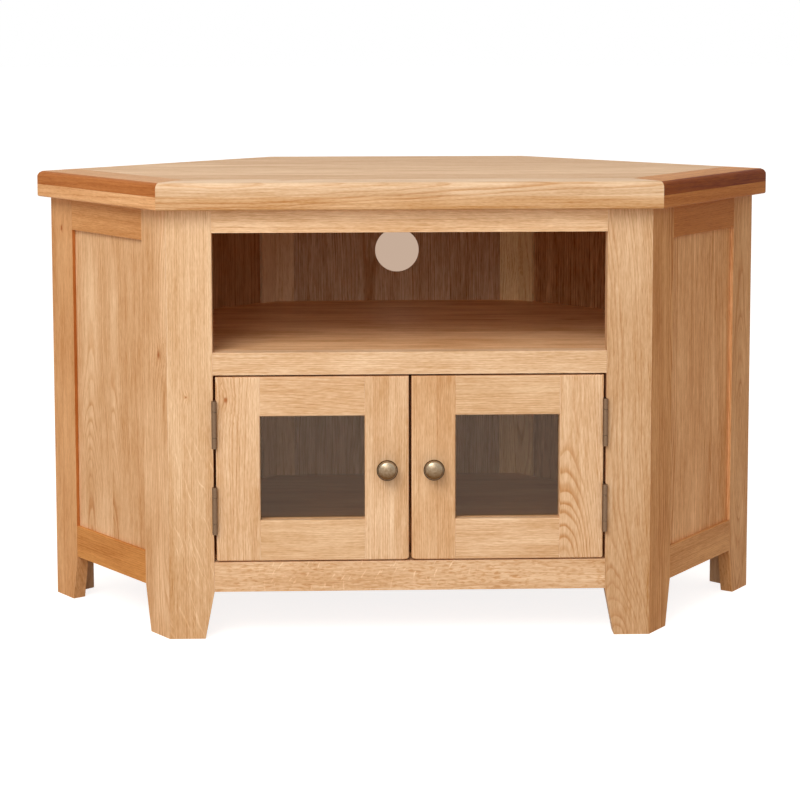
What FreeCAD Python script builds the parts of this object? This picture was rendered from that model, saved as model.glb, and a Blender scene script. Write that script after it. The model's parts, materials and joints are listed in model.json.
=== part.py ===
"""Corner tv unit in oak: a wide front, two slanting framed sides and two edges that fit a room's corner.

Millimetres, +Z up. The origin is on the floor, midway across the width and midway between the top
board's front and back edges. The doors face -Y.
"""
import FreeCAD, Part
import math
import os
import re
import Sketcher

os.makedirs("parts", exist_ok=True)
doc = FreeCAD.newDocument("corner_tv_unit")

# Driving dimensions, each written once. Angles are in degrees, the rest in millimetres.
DRIVING = {
    # whole unit, as seen from above
    "overall_height": 590,
    "top_width": 1000,
    "top_front_width": 640,
    "top_back_width": 385,
    "top_depth": 555,
    "wall_angle": 45,
    "top_overhang": 20,
    "back_overhang": 4,
    # top: a layer of framed boards over a layer of edging strips
    "top_board_thickness": 18,
    "edging_thickness": 17,
    "border_width": 60,
    "top_rounding": 8,
    "edging_rounding": 2.5,
    # frames that make the cabinet's walls
    "front_frame_thickness": 22,
    "side_frame_thickness": 18,
    "back_frame_thickness": 18,
    "opening_width": 503.6,
    "side_front_stile_width": 58,
    "side_rear_stile_width": 57,
    "back_stile_width": 50,
    "back_post_width": 35,
    "front_top_rail_height": 30,
    "open_bay_height": 153,
    "middle_rail_height": 29,
    "front_bottom_rail_height": 38.5,
    "foot_height": 61.5,
    "foot_taper": 12,
    "side_rail_height": 43,
    "back_rail_height": 40,
    # panels that sit in the frames' grooves
    "groove_depth": 8,
    "side_panel_thickness": 8,
    "side_panel_recess": 5,
    "back_panel_thickness": 6,
    "back_panel_recess": 5,
    "cable_hole_radius": 33,
    # shelf, floor board, the strips under them and the blocks under the top
    "shelf_thickness": 18,
    "floor_board_thickness": 18,
    "door_stop_step": 5.5,
    "cleat_width": 18,
    "wall_cleat_start": 38,
    "block_length": 40,
    "block_depth": 18,
    "block_height": 25,
    "top_screw_radius": 2,
    "top_screw_head_radius": 4,
    "top_screw_head_height": 2.5,
    "top_screw_grip": 11,
    # doors
    "door_thickness": 20,
    "door_setback": 0.5,
    "door_top_gap": 2.5,
    "door_bottom_gap": 1.5,
    "meeting_gap": 3.4,
    "door_stile_width": 56.5,
    "door_top_rail_height": 51,
    "door_bottom_rail_height": 53,
    "door_rounding": 2,
    "opening_bevel": 1.2,
    "glass_thickness": 4,
    "glass_lip": 10,
    "glass_rebate": 8,
    "glass_play": 0.5,
    # knobs
    "knob_radius": 13.5,
    "knob_projection": 20,
    "knob_dome_rise": 4.2,
    "knob_rim_height": 2.6,
    "knob_rim_bevel": 1.2,
    "knob_neck_radius": 5.2,
    "knob_foot_radius": 8,
    "knob_foot_height": 2,
    "knob_bore_depth": 9,
    "knob_screw_radius": 2,
    "knob_screw_head_radius": 3.8,
    "knob_screw_head_height": 2,
    # hinges
    "hinge_length": 61.5,
    "hinge_end_knuckle": 14,
    "upper_hinge_inset": 30,
    "lower_hinge_inset": 36,
    "knuckle_radius": 3.4,
    "knuckle_gap": 0.3,
    "knuckle_stand_off": 0.3,
    "pin_radius": 1.5,
    "pin_running_gap": 0.05,
    "pin_tight_gap": 0.02,
    "leaf_thickness": 1.4,
    "leaf_gap": 0.4,
    "leaf_start": 0.4,
    "leaf_width": 17.5,
    "hinge_screw_radius": 1.5,
    "hinge_screw_head_radius": 2.8,
    "hinge_screw_length": 15,
    # catches
    "catch_length": 44,
    "catch_depth": 14,
    "catch_height": 13,
    "catch_inset": 8,
    "catch_gap": 0.5,
    "strike_thickness": 1,
    "strike_margin": 2,
    "catch_screw_radius": 1.3,
    "catch_screw_head_radius": 2.4,
    "catch_screw_length": 21,
}

# Sizes that follow from the driving ones. The plan's corners are counted from the front, round by
# the right: front corner, outer corner, back corner.
DERIVED = {
    "wall_turn": "wall_angle * 1 deg",
    "carcass_height": "overall_height - top_board_thickness - edging_thickness",
    "outer_tip_y": "top_depth / 2 - (top_width - top_back_width) / 2 * tan(wall_turn)",
    "side_angle": "atan((outer_tip_y + top_depth / 2) / (top_width / 2 - top_front_width / 2))",
    "outer_turn": "180 deg - wall_turn - side_angle",
    "front_face_y": "top_overhang - top_depth / 2",
    "front_corner_x": "top_front_width / 2 - top_overhang * tan(side_angle / 2)",
    "outer_corner_x": "top_width / 2 - (top_overhang * cos(wall_turn) + back_overhang * cos(side_angle))"
                      " / sin(side_angle + wall_turn)",
    "outer_corner_y": "outer_tip_y + (top_overhang * sin(wall_turn) - back_overhang * sin(side_angle))"
                      " / sin(side_angle + wall_turn)",
    "back_corner_x": "top_back_width / 2 - back_overhang * tan(wall_turn / 2)",
    "back_face_y": "top_depth / 2 - back_overhang",
    "side_length": "(outer_corner_y - front_face_y) / sin(side_angle)",
    "wall_length": "(back_face_y - outer_corner_y) / sin(wall_turn)",
    "side_rail_length": "side_length - side_front_stile_width - side_rear_stile_width",
    "wall_rail_length": "wall_length - back_stile_width - back_post_width",
    "back_rail_length": "2 * (back_corner_x - back_post_width)",
    "side_inner": "side_panel_recess + side_panel_thickness",
    "back_inner": "back_frame_thickness - back_panel_recess",
    "opening_half": "opening_width / 2",
    "open_bay_floor": "carcass_height - front_top_rail_height - open_bay_height",
    "door_bay_top": "open_bay_floor - middle_rail_height",
    "door_bay_floor": "foot_height + front_bottom_rail_height",
    "floor_top": "door_bay_floor + door_stop_step",
    "hinge_gap": "2 * leaf_thickness + leaf_gap",
    "pin_x": "opening_half - hinge_gap / 2",
    "pin_y": "-knuckle_radius - knuckle_stand_off",
    "door_inner_x": "meeting_gap / 2",
    "door_outer_x": "opening_half - hinge_gap",
    "door_low": "door_bay_floor + door_bottom_gap",
    "door_high": "door_bay_top - door_top_gap",
    "door_height": "door_high - door_low",
    "door_back": "door_setback + door_thickness",
    "glass_left": "door_inner_x + door_stile_width",
    "glass_right": "door_outer_x - door_stile_width",
    "glass_low": "door_low + door_bottom_rail_height",
    "glass_high": "door_high - door_top_rail_height",
    "knob_x": "door_inner_x + door_stile_width / 2",
    "knob_z": "(door_low + door_high) / 2",
    "dome_edge": "knob_projection - knob_dome_rise",
    "upper_hinge_z": "door_high - upper_hinge_inset - hinge_length",
    "lower_hinge_z": "door_low + lower_hinge_inset",
    "catch_x": "door_inner_x + catch_inset",
    "catch_y": "door_back + strike_thickness + catch_gap",
    "top_screw_length": "block_height + top_screw_grip",
}

# How near two places must be to count as the same one when an edge is looked up.
TOLERANCE = 1e-4


def fill_sheet():
    """Write the driving numbers, then the sizes worked out from them, one alias to a row."""
    sheet = doc.addObject("Spreadsheet::Sheet", "Sizes")
    rows = [(alias, str(value)) for alias, value in DRIVING.items()]
    rows += [(alias, "=" + text) for alias, text in DERIVED.items()]
    for row, (alias, content) in enumerate(rows, start=1):
        sheet.set(f"A{row}", alias)
        sheet.set(f"B{row}", content)
        sheet.setAlias(f"B{row}", alias)
    doc.recompute()
    return sheet


sheet = fill_sheet()
ALIASES = set(DRIVING) | set(DERIVED)


def formula(text):
    """Turn size names into references to the sheet."""
    def refer(word):
        return "Sizes." + word.group() if word.group() in ALIASES else word.group()

    return re.sub(r"[a-z_]+", refer, text)


def bind(thing, **formulas):
    """Bind properties of an object to formulas; a double underscore stands for a dot."""
    for name, text in formulas.items():
        thing.setExpression(name.replace("__", "."), formula(text))


# Each wall has its own frame: x runs along its outer face, counted from its first corner, and y
# points into the cabinet. The left walls are mirror images of the right ones.
FRAMES = {
    "plan": ("0", "0", "0 deg"),
    "front": ("0", "front_face_y", "0 deg"),
    "side": ("front_corner_x", "front_face_y", "side_angle"),
    "wall": ("outer_corner_x", "outer_corner_y", "180 deg - wall_turn"),
    "back": ("back_corner_x", "back_face_y", "180 deg"),
}


def put_at(piece, frame, at):
    """Put a piece at a point of a frame."""
    base_x, base_y, turn = FRAMES[frame]
    bind(
        piece,
        Placement__Base__x=f"{base_x} + ({at[0]}) * cos({turn}) - ({at[1]}) * sin({turn})",
        Placement__Base__y=f"{base_y} + ({at[0]}) * sin({turn}) + ({at[1]}) * cos({turn})",
        Placement__Base__z=at[2],
    )


def place(piece, frame, at=("0", "0", "0")):
    """Put a piece at a point of a frame and turn it with the frame."""
    put_at(piece, frame, at)
    bind(piece, Placement__Rotation__Angle=FRAMES[frame][2])


def meet_on_first(first, second, turn):
    """Where two inner lines cross, along the first wall and counted from the corner they turn at."""
    return f"(({first}) * cos({turn}) - ({second})) / sin({turn})"


def meet_on_second(first, second, turn):
    """The same crossing, counted along the second wall."""
    return f"(({first}) - ({second}) * cos({turn})) / sin({turn})"


def flip(corner):
    """The mirror image of a corner of the plan."""
    return (f"-({corner[0]})", corner[1])


def new_body(name, frame):
    body = doc.addObject("PartDesign::Body", name)
    body.Label = name
    place(body, frame)
    return body


def draw_outline(body, name, role, corners):
    """Draw a closed outline on a plane of the body's origin, every corner bound to formulas."""
    sketch = body.newObject("Sketcher::SketchObject", name)
    plane = next(feature for feature in body.Origin.OriginFeatures if feature.Role == role)
    sketch.AttachmentSupport = (plane, [""])
    sketch.MapMode = "FlatFace"
    count = len(corners)
    turns = [2 * math.pi * number / count for number in range(count)]
    start = [FreeCAD.Vector(math.cos(turn), math.sin(turn), 0) for turn in turns]
    for number in range(count):
        sketch.addGeometry(Part.LineSegment(start[number], start[(number + 1) % count]), False)
    for number in range(count):
        sketch.addConstraint(Sketcher.Constraint("Coincident", number, 2, (number + 1) % count, 1))
    for number, corner in enumerate(corners):
        for kind, text, axis in (("DistanceX", corner[0], -2), ("DistanceY", corner[1], -1)):
            if text == "0":
                sketch.addConstraint(Sketcher.Constraint("PointOnObject", number, 1, axis))
                continue
            index = sketch.addConstraint(Sketcher.Constraint(kind, -1, 1, number, 1, 1.0))
            sketch.setExpression(f"Constraints[{index}]", formula(text))
    return sketch


def outline_edges(shape, sketch, sides, level):
    """Names of the edges that lie over the given sides of an outline, at one height."""
    names = []
    for side in sides:
        line = sketch.Geometry[side]
        middle = (line.StartPoint + line.EndPoint) * 0.5
        middle.z = level
        names += [
            f"Edge{number}"
            for number, edge in enumerate(shape.Edges, start=1)
            if edge.CenterOfMass.distanceToPoint(middle) < TOLERANCE
        ]
    return names


def round_edges(body, base, names, radius):
    fillet = body.newObject("PartDesign::Fillet", body.Name + "_rounding")
    fillet.Base = (base, names)
    bind(fillet, Radius=radius)
    return fillet


def box_feature(body, kind, name, low, size):
    """A square-cut block added to a body or cut out of it, placed in the body's frame."""
    feature = body.newObject("PartDesign::" + kind, name)
    bind(feature, Length=size[0], Width=size[1], Height=size[2])
    bind(feature, Placement__Base__x=low[0], Placement__Base__y=low[1], Placement__Base__z=low[2])
    return feature


def plank(name, frame, low, size, cuts=()):
    """A square-cut board with housings for what it holds."""
    body = new_body(name, frame)
    box_feature(body, "AdditiveBox", name + "_blank", low, size)
    for number, (cut_low, cut_size) in enumerate(cuts, start=1):
        box_feature(body, "SubtractiveBox", f"{name}_housing_{number}", cut_low, cut_size)
    return body


def board(name, frame, corners, low, height, rounded=(), radius=None, upper=True):
    """A board of any outline, with chosen upper or lower edges rounded."""
    body = new_body(name, frame)
    sketch = draw_outline(body, name + "_outline", "XY_Plane", corners)
    bind(sketch, AttachmentOffset__Base__z=low)
    pad = body.newObject("PartDesign::Pad", name + "_blank")
    pad.Profile = sketch
    bind(pad, Length=height)
    if rounded:
        doc.recompute()
        box = pad.Shape.BoundBox
        edges = outline_edges(pad.Shape, sketch, rounded, box.ZMax if upper else box.ZMin)
        round_edges(body, pad, edges, radius)
    return body


def cut_foot(body, corners):
    """Slope the inner edge of a stile's foot, right through the stile."""
    sketch = draw_outline(body, body.Name + "_taper", "XZ_Plane", corners)
    pocket = body.newObject("PartDesign::Pocket", body.Name + "_foot")
    pocket.Profile = sketch
    pocket.Type = "ThroughAll"
    pocket.Midplane = True
    return pocket


def cut_out(name, base, tools):
    """The base with the tools taken out of it."""
    tool = tools[0]
    if len(tools) > 1:
        tool = group(name + "_tools", tools)
    piece = doc.addObject("Part::Cut", name)
    piece.Label = name
    piece.Base = base
    piece.Tool = tool
    return piece


def join(name, pieces):
    """Several overlapping pieces as one solid."""
    piece = doc.addObject("Part::MultiFuse", name)
    piece.Label = name
    piece.Shapes = pieces
    return piece


def group(name, pieces):
    """Separate solids that share one node."""
    piece = doc.addObject("Part::Compound", name)
    piece.Label = name
    piece.Links = pieces
    return piece


def mirror(name, source):
    """The left-hand twin of a right-hand piece."""
    piece = doc.addObject("Part::Mirroring", name)
    piece.Label = name
    piece.Source = source
    piece.Base = FreeCAD.Vector(0, 0, 0)
    piece.Normal = FreeCAD.Vector(1, 0, 0)
    return piece


def cylinder(name, frame, at, axis, radius, height):
    """A round bar that starts at a point of a frame."""
    return round_piece("Part::Cylinder", name, frame, at, axis, Radius=radius, Height=height)


def cone(name, frame, at, axis, radius_from, radius_to, height):
    return round_piece(
        "Part::Cone", name, frame, at, axis, Radius1=radius_from, Radius2=radius_to, Height=height
    )


TILTS = {
    "z": FreeCAD.Rotation(FreeCAD.Vector(0, 0, 1), 0),
    "-z": FreeCAD.Rotation(FreeCAD.Vector(1, 0, 0), 180),
    "x": FreeCAD.Rotation(FreeCAD.Vector(0, 1, 0), 90),
    "-x": FreeCAD.Rotation(FreeCAD.Vector(0, 1, 0), -90),
    "y": FreeCAD.Rotation(FreeCAD.Vector(1, 0, 0), -90),
    "-y": FreeCAD.Rotation(FreeCAD.Vector(1, 0, 0), 90),
}


def round_piece(kind, name, frame, at, axis, **sizes):
    """A turned piece, its axis along one of the part's own axes."""
    piece = doc.addObject(kind, name)
    bind(piece, **sizes)
    piece.Placement = FreeCAD.Placement(FreeCAD.Vector(0, 0, 0), TILTS[axis])
    put_at(piece, frame, at)
    return piece


def screw(name, frame, at, axis, radius, head_radius, head_height, length):
    """A countersunk screw whose head is flush at the given point and whose shank runs on inward."""
    head = cone(name + "_head", frame, at, axis, head_radius, radius, head_height)
    shank = cylinder(name + "_shank", frame, at, axis, radius, length)
    return join(name, [head, shank])


NODES = []


def keep(*pieces):
    """Mark finished pieces as nodes of the part."""
    NODES.extend(pieces)
    return pieces[0]


def keep_pair(right):
    """Keep a right-hand piece, whose name ends in _right, and its left-hand twin."""
    left = mirror(right.Label.replace("_right", "_left"), right)
    keep(right, left)
    return right, left


# Top. The corners of its outline, and those of a line one border's width inside it.
TIP_SPREAD = "sin(side_angle + wall_turn)"
FRONT_TIP = ("top_front_width / 2", "-top_depth / 2")
SIDE_TIP = ("top_width / 2", "outer_tip_y")
BACK_TIP = ("top_back_width / 2", "top_depth / 2")
FRONT_INNER = (
    "top_front_width / 2 - border_width * tan(side_angle / 2)",
    "border_width - top_depth / 2",
)
SIDE_END = (
    f"top_width / 2 - border_width * cos(wall_turn) / {TIP_SPREAD}",
    f"outer_tip_y + border_width * sin(wall_turn) / {TIP_SPREAD}",
)
SIDE_INNER = (
    f"top_width / 2 - border_width * (cos(wall_turn) + cos(side_angle)) / {TIP_SPREAD}",
    f"outer_tip_y + border_width * (sin(wall_turn) - sin(side_angle)) / {TIP_SPREAD}",
)
BACK_INNER = (
    "top_back_width / 2 - border_width * tan(wall_turn / 2)",
    "top_depth / 2 - border_width",
)


def make_top():
    """Framed boards above, edging strips below, so that the edge looks twice as thick."""
    front = [flip(FRONT_TIP), FRONT_TIP, FRONT_INNER, flip(FRONT_INNER)]
    side = [FRONT_TIP, SIDE_TIP, SIDE_END, FRONT_INNER]
    field = [FRONT_INNER, SIDE_END, BACK_TIP, flip(BACK_TIP), flip(SIDE_END), flip(FRONT_INNER)]
    upper = ("carcass_height + edging_thickness", "top_board_thickness")
    keep(board("top_field", "plan", field, *upper, rounded=(1, 2, 3), radius="top_rounding"))
    keep(board("top_front_board", "plan", front, *upper, rounded=(0,), radius="top_rounding"))
    keep_pair(board("top_side_board_right", "plan", side, *upper, rounded=(0, 1), radius="top_rounding"))

    lower = ("carcass_height", "edging_thickness")
    under = {"radius": "edging_rounding", "upper": False}
    front_strip = board("front_edging_blank", "plan", front, *lower, rounded=(0,), **under)
    keep(cut_out("top_front_edging", front_strip, [TOP_SCREWS]))
    side_strip = board("side_edging_blank", "plan", side, *lower, rounded=(0, 1), **under)
    keep_pair(cut_out("top_side_edging_right", side_strip, [TOP_SCREWS]))
    slant = board(
        "slant_edging", "plan", [SIDE_END, BACK_TIP, BACK_INNER, SIDE_INNER], *lower, rounded=(0,), **under
    )
    rear = board(
        "rear_edging", "plan", [BACK_TIP, flip(BACK_TIP), flip(BACK_INNER), BACK_INNER], *lower,
        rounded=(0,), **under
    )
    strips = group("back_edging_blanks", [slant, mirror("slant_edging_left", slant), rear])
    keep(cut_out("top_back_edging", strips, [TOP_SCREWS]))


def make_top_fixings():
    """Wooden blocks in the angle under the top, each with a screw up into the edging."""
    low_z = "carcass_height - block_height"
    size = ("block_length", "block_depth", "block_height")
    spots = {
        "front_block_right": ("front", "opening_half / 2", "front_frame_thickness"),
        "side_block_right": ("side", "side_length / 2", "side_frame_thickness"),
        "wall_block_right": ("wall", "wall_length / 2", "back_frame_thickness"),
        "rear_block": ("back", "back_corner_x", "back_frame_thickness"),
    }
    blocks = []
    screws = []
    for name, (frame, middle, face) in spots.items():
        low = (f"{middle} - block_length / 2", face, low_z)
        blocks.append(plank(name, frame, low, size))
        screws.append(
            screw(
                name + "_screw", frame, (middle, f"{face} + block_depth / 2", low_z), "z",
                "top_screw_radius", "top_screw_head_radius", "top_screw_head_height", "top_screw_length",
            )
        )
    blocks += [mirror(block.Label.replace("_right", "_left"), block) for block in blocks[:-1]]
    screws += [mirror(one.Label.replace("_right", "_left"), one) for one in screws[:-1]]
    all_screws = keep(group("top_fixing_screws", screws))
    keep(cut_out("top_fixing_blocks", group("block_blanks", blocks), [all_screws]))
    return all_screws


def hinge_levels():
    return (("upper", "upper_hinge_z"), ("lower", "lower_hinge_z"))


# Where a leaf's three screws sit, as shares of its length and width.
SCREW_HEIGHT_SHARES = (0.16, 0.5, 0.84)
SCREW_DEPTH_SHARES = (0.66, 0.42, 0.66)


def leaf_screws(side, x, axis):
    """The screws of one side's upper and lower leaves, heads flush with the leaf."""
    screws = []
    for level, base_z in hinge_levels():
        for number, (height, depth) in enumerate(zip(SCREW_HEIGHT_SHARES, SCREW_DEPTH_SHARES), start=1):
            spot = (x, f"leaf_start + leaf_width * {depth}", f"{base_z} + hinge_length * {height}")
            screws.append(
                screw(
                    f"{side}_{level}_screw_{number}", "front", spot, axis,
                    "hinge_screw_radius", "hinge_screw_head_radius", "leaf_thickness", "hinge_screw_length",
                )
            )
    return screws


def strap(name, leaf_x, base_z, height):
    """The flat tongue that joins a leaf to its knuckle."""
    piece = doc.addObject("Part::Box", name)
    bind(piece, Length="leaf_thickness", Width="leaf_start - pin_y", Height=height)
    place(piece, "front", (leaf_x, "pin_y", base_z))
    return piece


def hinge_leaf(name, leaf_x, base_z, knuckles, bore):
    """One leaf: a plate in the gap beside the door and its knuckles round the pin."""
    plate = doc.addObject("Part::Box", name + "_plate")
    bind(plate, Length="leaf_thickness", Width="leaf_width", Height="hinge_length")
    place(plate, "front", (leaf_x, "leaf_start", base_z))
    pieces = [plate]
    for number, (start, height) in enumerate(knuckles, start=1):
        low = f"{base_z} + {start}"
        centre = ("pin_x", "pin_y", low)
        pieces.append(strap(f"{name}_strap_{number}", leaf_x, low, height))
        pieces.append(cylinder(f"{name}_knuckle_{number}", "front", centre, "z", "knuckle_radius", height))
    hole = cylinder(name + "_bore", "front", ("pin_x", "pin_y", base_z), "z", bore, "hinge_length")
    return cut_out(name, join(name + "_solid", pieces), [hole])


def make_hinges(post_screws, door_screws):
    """Butt hinges: the post's leaf has the two end knuckles and the door's leaf the long middle one."""
    end = "hinge_end_knuckle - knuckle_gap"
    post_knuckles = [("0", end), ("hinge_length - hinge_end_knuckle + knuckle_gap", end)]
    door_knuckles = [("hinge_end_knuckle", "hinge_length - 2 * hinge_end_knuckle")]
    post_leaves = []
    door_leaves = []
    pins = []
    for level, base_z in hinge_levels():
        post_leaves.append(
            hinge_leaf(
                f"post_leaf_{level}", "opening_half - leaf_thickness", base_z, post_knuckles,
                "pin_radius + pin_tight_gap",
            )
        )
        door_leaves.append(
            hinge_leaf(
                f"door_leaf_{level}", "door_outer_x", base_z, door_knuckles, "pin_radius + pin_running_gap"
            )
        )
        pins.append(
            cylinder(f"pin_{level}", "front", ("pin_x", "pin_y", base_z), "z", "pin_radius", "hinge_length")
        )
    right = cut_out("post_leaves_right", group("post_leaf_pair", post_leaves), [post_screws])
    keep(group("hinge_post_leaves", [right, mirror("post_leaves_left", right)]))
    keep_pair(cut_out("hinge_door_leaves_right", group("door_leaf_pair", door_leaves), [door_screws]))
    pin_pair = group("pins_right", pins)
    keep(group("hinge_pins", [pin_pair, mirror("pins_left", pin_pair)]))


# Where a catch's two screws sit, as shares of its length.
CATCH_SCREW_SHARES = (0.14, 0.86)


def make_catch():
    """A magnetic catch on the floor board behind each door and the strike plate that it holds."""
    catch = plank(
        "catch_blank", "front", ("catch_x", "catch_y", "floor_top"),
        ("catch_length", "catch_depth", "catch_height"),
    )
    screws = []
    for number, share in enumerate(CATCH_SCREW_SHARES, start=1):
        spot = (f"catch_x + catch_length * {share}", "catch_y + catch_depth / 2", "floor_top + catch_height")
        screws.append(
            screw(
                f"catch_screw_{number}", "front", spot, "-z",
                "catch_screw_radius", "catch_screw_head_radius", "strike_thickness", "catch_screw_length",
            )
        )
    return catch, screws


def make_doors(door_screws):
    """Right-hand door, and its mirror image on the left: a flush frame round a pane of glass."""
    rebate = (
        ("glass_left - glass_rebate", "door_setback + glass_lip", "glass_low - glass_rebate"),
        ("glass_right - glass_left + 2 * glass_rebate", "door_thickness",
         "glass_high - glass_low + 2 * glass_rebate"),
    )
    rail_length = "glass_right - glass_left"
    members = {
        "hinge_stile": (("glass_right", "door_low"), ("door_stile_width", "door_height"),
                        ("right", "top", "bottom")),
        "meeting_stile": (("door_inner_x", "door_low"), ("door_stile_width", "door_height"),
                          ("left", "top", "bottom")),
        "top_rail": (("glass_left", "glass_high"), (rail_length, "door_top_rail_height"), ("top",)),
        "bottom_rail": (("glass_left", "door_low"), (rail_length, "door_bottom_rail_height"), ("bottom",)),
    }
    for member, (low, size, outer) in members.items():
        blank = door_member(
            f"{member}_blank", (low[0], "door_setback", low[1]), (size[0], "door_thickness", size[1]),
            rebate, outer,
        )
        keep_pair(cut_out(f"door_{member}_right", blank, [door_screws]))
    make_glazing()


def door_member(name, low, size, rebate, outer):
    """A stile or rail: rebated for the glass, bevelled round the opening, rounded on its outer edges."""
    body = new_body(name, "front")
    blank = box_feature(body, "AdditiveBox", name + "_bar", low, size)
    doc.recompute()
    round_edges(body, blank, front_edges(blank.Shape, outer), "door_rounding")
    box_feature(body, "SubtractiveBox", name + "_rebate", rebate[0], rebate[1])
    bevel = body.newObject("PartDesign::SubtractiveWedge", name + "_bevel")
    bind(
        bevel,
        Xmin="glass_left - opening_bevel", Xmax="glass_right + opening_bevel",
        Zmin="glass_low - opening_bevel", Zmax="glass_high + opening_bevel",
        Ymin="door_setback", Ymax="door_setback + opening_bevel",
        X2min="glass_left", X2max="glass_right", Z2min="glass_low", Z2max="glass_high",
    )
    return body


def front_edges(shape, sides):
    """Names of the edges round the front face of a bar."""
    whole = shape.BoundBox
    spans = {
        "left": ("XMin", "XMax", whole.XMin),
        "right": ("XMin", "XMax", whole.XMax),
        "bottom": ("ZMin", "ZMax", whole.ZMin),
        "top": ("ZMin", "ZMax", whole.ZMax),
    }
    names = []
    for number, edge in enumerate(shape.Edges, start=1):
        box = edge.BoundBox
        on_front = abs(box.YMax - whole.YMin) < TOLERANCE
        for side in sides:
            first, last, place_of = spans[side]
            level = abs(getattr(box, first) - place_of) + abs(getattr(box, last) - place_of)
            if on_front and level < TOLERANCE:
                names.append(f"Edge{number}")
    return names


def make_glazing():
    """The pane against the door's front lip, and four beads that hold it from behind."""
    margin = "glass_rebate - glass_play"
    pane_low = (f"glass_left - ({margin})", "door_setback + glass_lip", f"glass_low - ({margin})")
    pane_size = (
        f"glass_right - glass_left + 2 * ({margin})",
        "glass_thickness",
        f"glass_high - glass_low + 2 * ({margin})",
    )
    keep_pair(plank("door_glass_right", "front", pane_low, pane_size))

    bead_y = "door_setback + glass_lip + glass_thickness"
    depth = "door_thickness - glass_lip - glass_thickness"
    length = "glass_right - glass_left + 2 * glass_rebate"
    height = "glass_high - glass_low"
    beads = {
        "bead_bottom": (("glass_left - glass_rebate", "glass_low - glass_rebate"), (length, "glass_rebate")),
        "bead_top": (("glass_left - glass_rebate", "glass_high"), (length, "glass_rebate")),
        "bead_inner": (("glass_left - glass_rebate", "glass_low"), ("glass_rebate", height)),
        "bead_outer": (("glass_right", "glass_low"), ("glass_rebate", height)),
    }
    strips = [
        plank(name, "front", (low[0], bead_y, low[1]), (size[0], depth, size[1]))
        for name, (low, size) in beads.items()
    ]
    keep_pair(group("door_glazing_beads_right", strips))


def make_knob():
    """A domed brass knob on a turned neck, bored from behind for its screw."""
    levels = {
        "face": "door_setback",
        "rim_back": "door_setback - dome_edge + knob_rim_height",
        "rim": "door_setback - dome_edge + knob_rim_height - knob_rim_bevel",
        "dome": "door_setback - dome_edge",
    }
    spots = {name: ("knob_x", level, "knob_z") for name, level in levels.items()}
    foot = cylinder("knob_foot", "front", spots["face"], "-y", "knob_foot_radius", "knob_foot_height")
    neck = cone(
        "knob_neck", "front", spots["face"], "-y", "knob_foot_radius", "knob_neck_radius",
        "dome_edge - knob_rim_height",
    )
    bevel = cone(
        "knob_bevel", "front", spots["rim_back"], "-y", "knob_radius - knob_rim_bevel", "knob_radius",
        "knob_rim_bevel",
    )
    rim = cylinder(
        "knob_rim", "front", spots["rim"], "-y", "knob_radius", "knob_rim_height - knob_rim_bevel"
    )
    dome = round_piece(
        "Part::Ellipsoid", "knob_dome", "front", spots["dome"], "-y",
        Radius1="knob_dome_rise", Radius2="knob_radius", Angle1="0 deg",
    )
    bore = cylinder("knob_bore", "front", spots["face"], "-y", "knob_screw_radius", "knob_bore_depth")
    solid = join("knob_solid", [foot, neck, bevel, rim, dome])
    return keep_pair(cut_out("knob_right", solid, [bore]))


def make_door_fittings():
    """What is screwed to the right-hand door: knob screw, strike plate and hinge screws."""
    knob_screw = join(
        "knob_screw",
        [
            cylinder(
                "knob_screw_head", "front", ("knob_x", "door_back", "knob_z"), "y",
                "knob_screw_head_radius", "knob_screw_head_height",
            ),
            cylinder(
                "knob_screw_shank", "front", ("knob_x", "door_back", "knob_z"), "-y",
                "knob_screw_radius", "door_thickness + knob_bore_depth",
            ),
        ],
    )
    plate = plank(
        "strike_blank", "front", ("catch_x + strike_margin", "door_back", "floor_top + strike_margin"),
        ("catch_length - 2 * strike_margin", "strike_thickness", "catch_height - 2 * strike_margin"),
    )
    strike_screw = screw(
        "strike_screw", "front",
        ("catch_x + catch_length / 2", "door_back + strike_thickness", "floor_top + catch_height / 2"), "-y",
        "catch_screw_radius", "catch_screw_head_radius", "strike_thickness", "hinge_screw_length",
    )
    screws = leaf_screws("door", "door_outer_x + leaf_thickness", "-x")
    door_screws = group("door_screws_right", screws + [knob_screw, strike_screw])
    keep_pair(door_screws)
    keep_pair(cut_out("door_strike_plate_right", plate, [door_screws]))
    return door_screws


# Panels, each with the boxes that the frame round it is grooved for.
SIDE_PANEL = (
    ("side_front_stile_width - groove_depth", "side_panel_recess",
     "foot_height + side_rail_height - groove_depth"),
    ("side_rail_length + 2 * groove_depth", "side_panel_thickness",
     "carcass_height - foot_height - 2 * side_rail_height + 2 * groove_depth"),
)
BACK_PANEL_Y = "back_inner - back_panel_thickness"
BACK_PANEL_LOW = "foot_height + back_rail_height - groove_depth"
BACK_PANEL_HEIGHT = "carcass_height - foot_height - 2 * back_rail_height + 2 * groove_depth"
WALL_PANEL = (
    ("back_stile_width - groove_depth", BACK_PANEL_Y, BACK_PANEL_LOW),
    ("wall_rail_length + 2 * groove_depth", "back_panel_thickness", BACK_PANEL_HEIGHT),
)
BACK_PANEL = (
    ("back_post_width - groove_depth", BACK_PANEL_Y, BACK_PANEL_LOW),
    ("back_rail_length + 2 * groove_depth", "back_panel_thickness", BACK_PANEL_HEIGHT),
)


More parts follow.
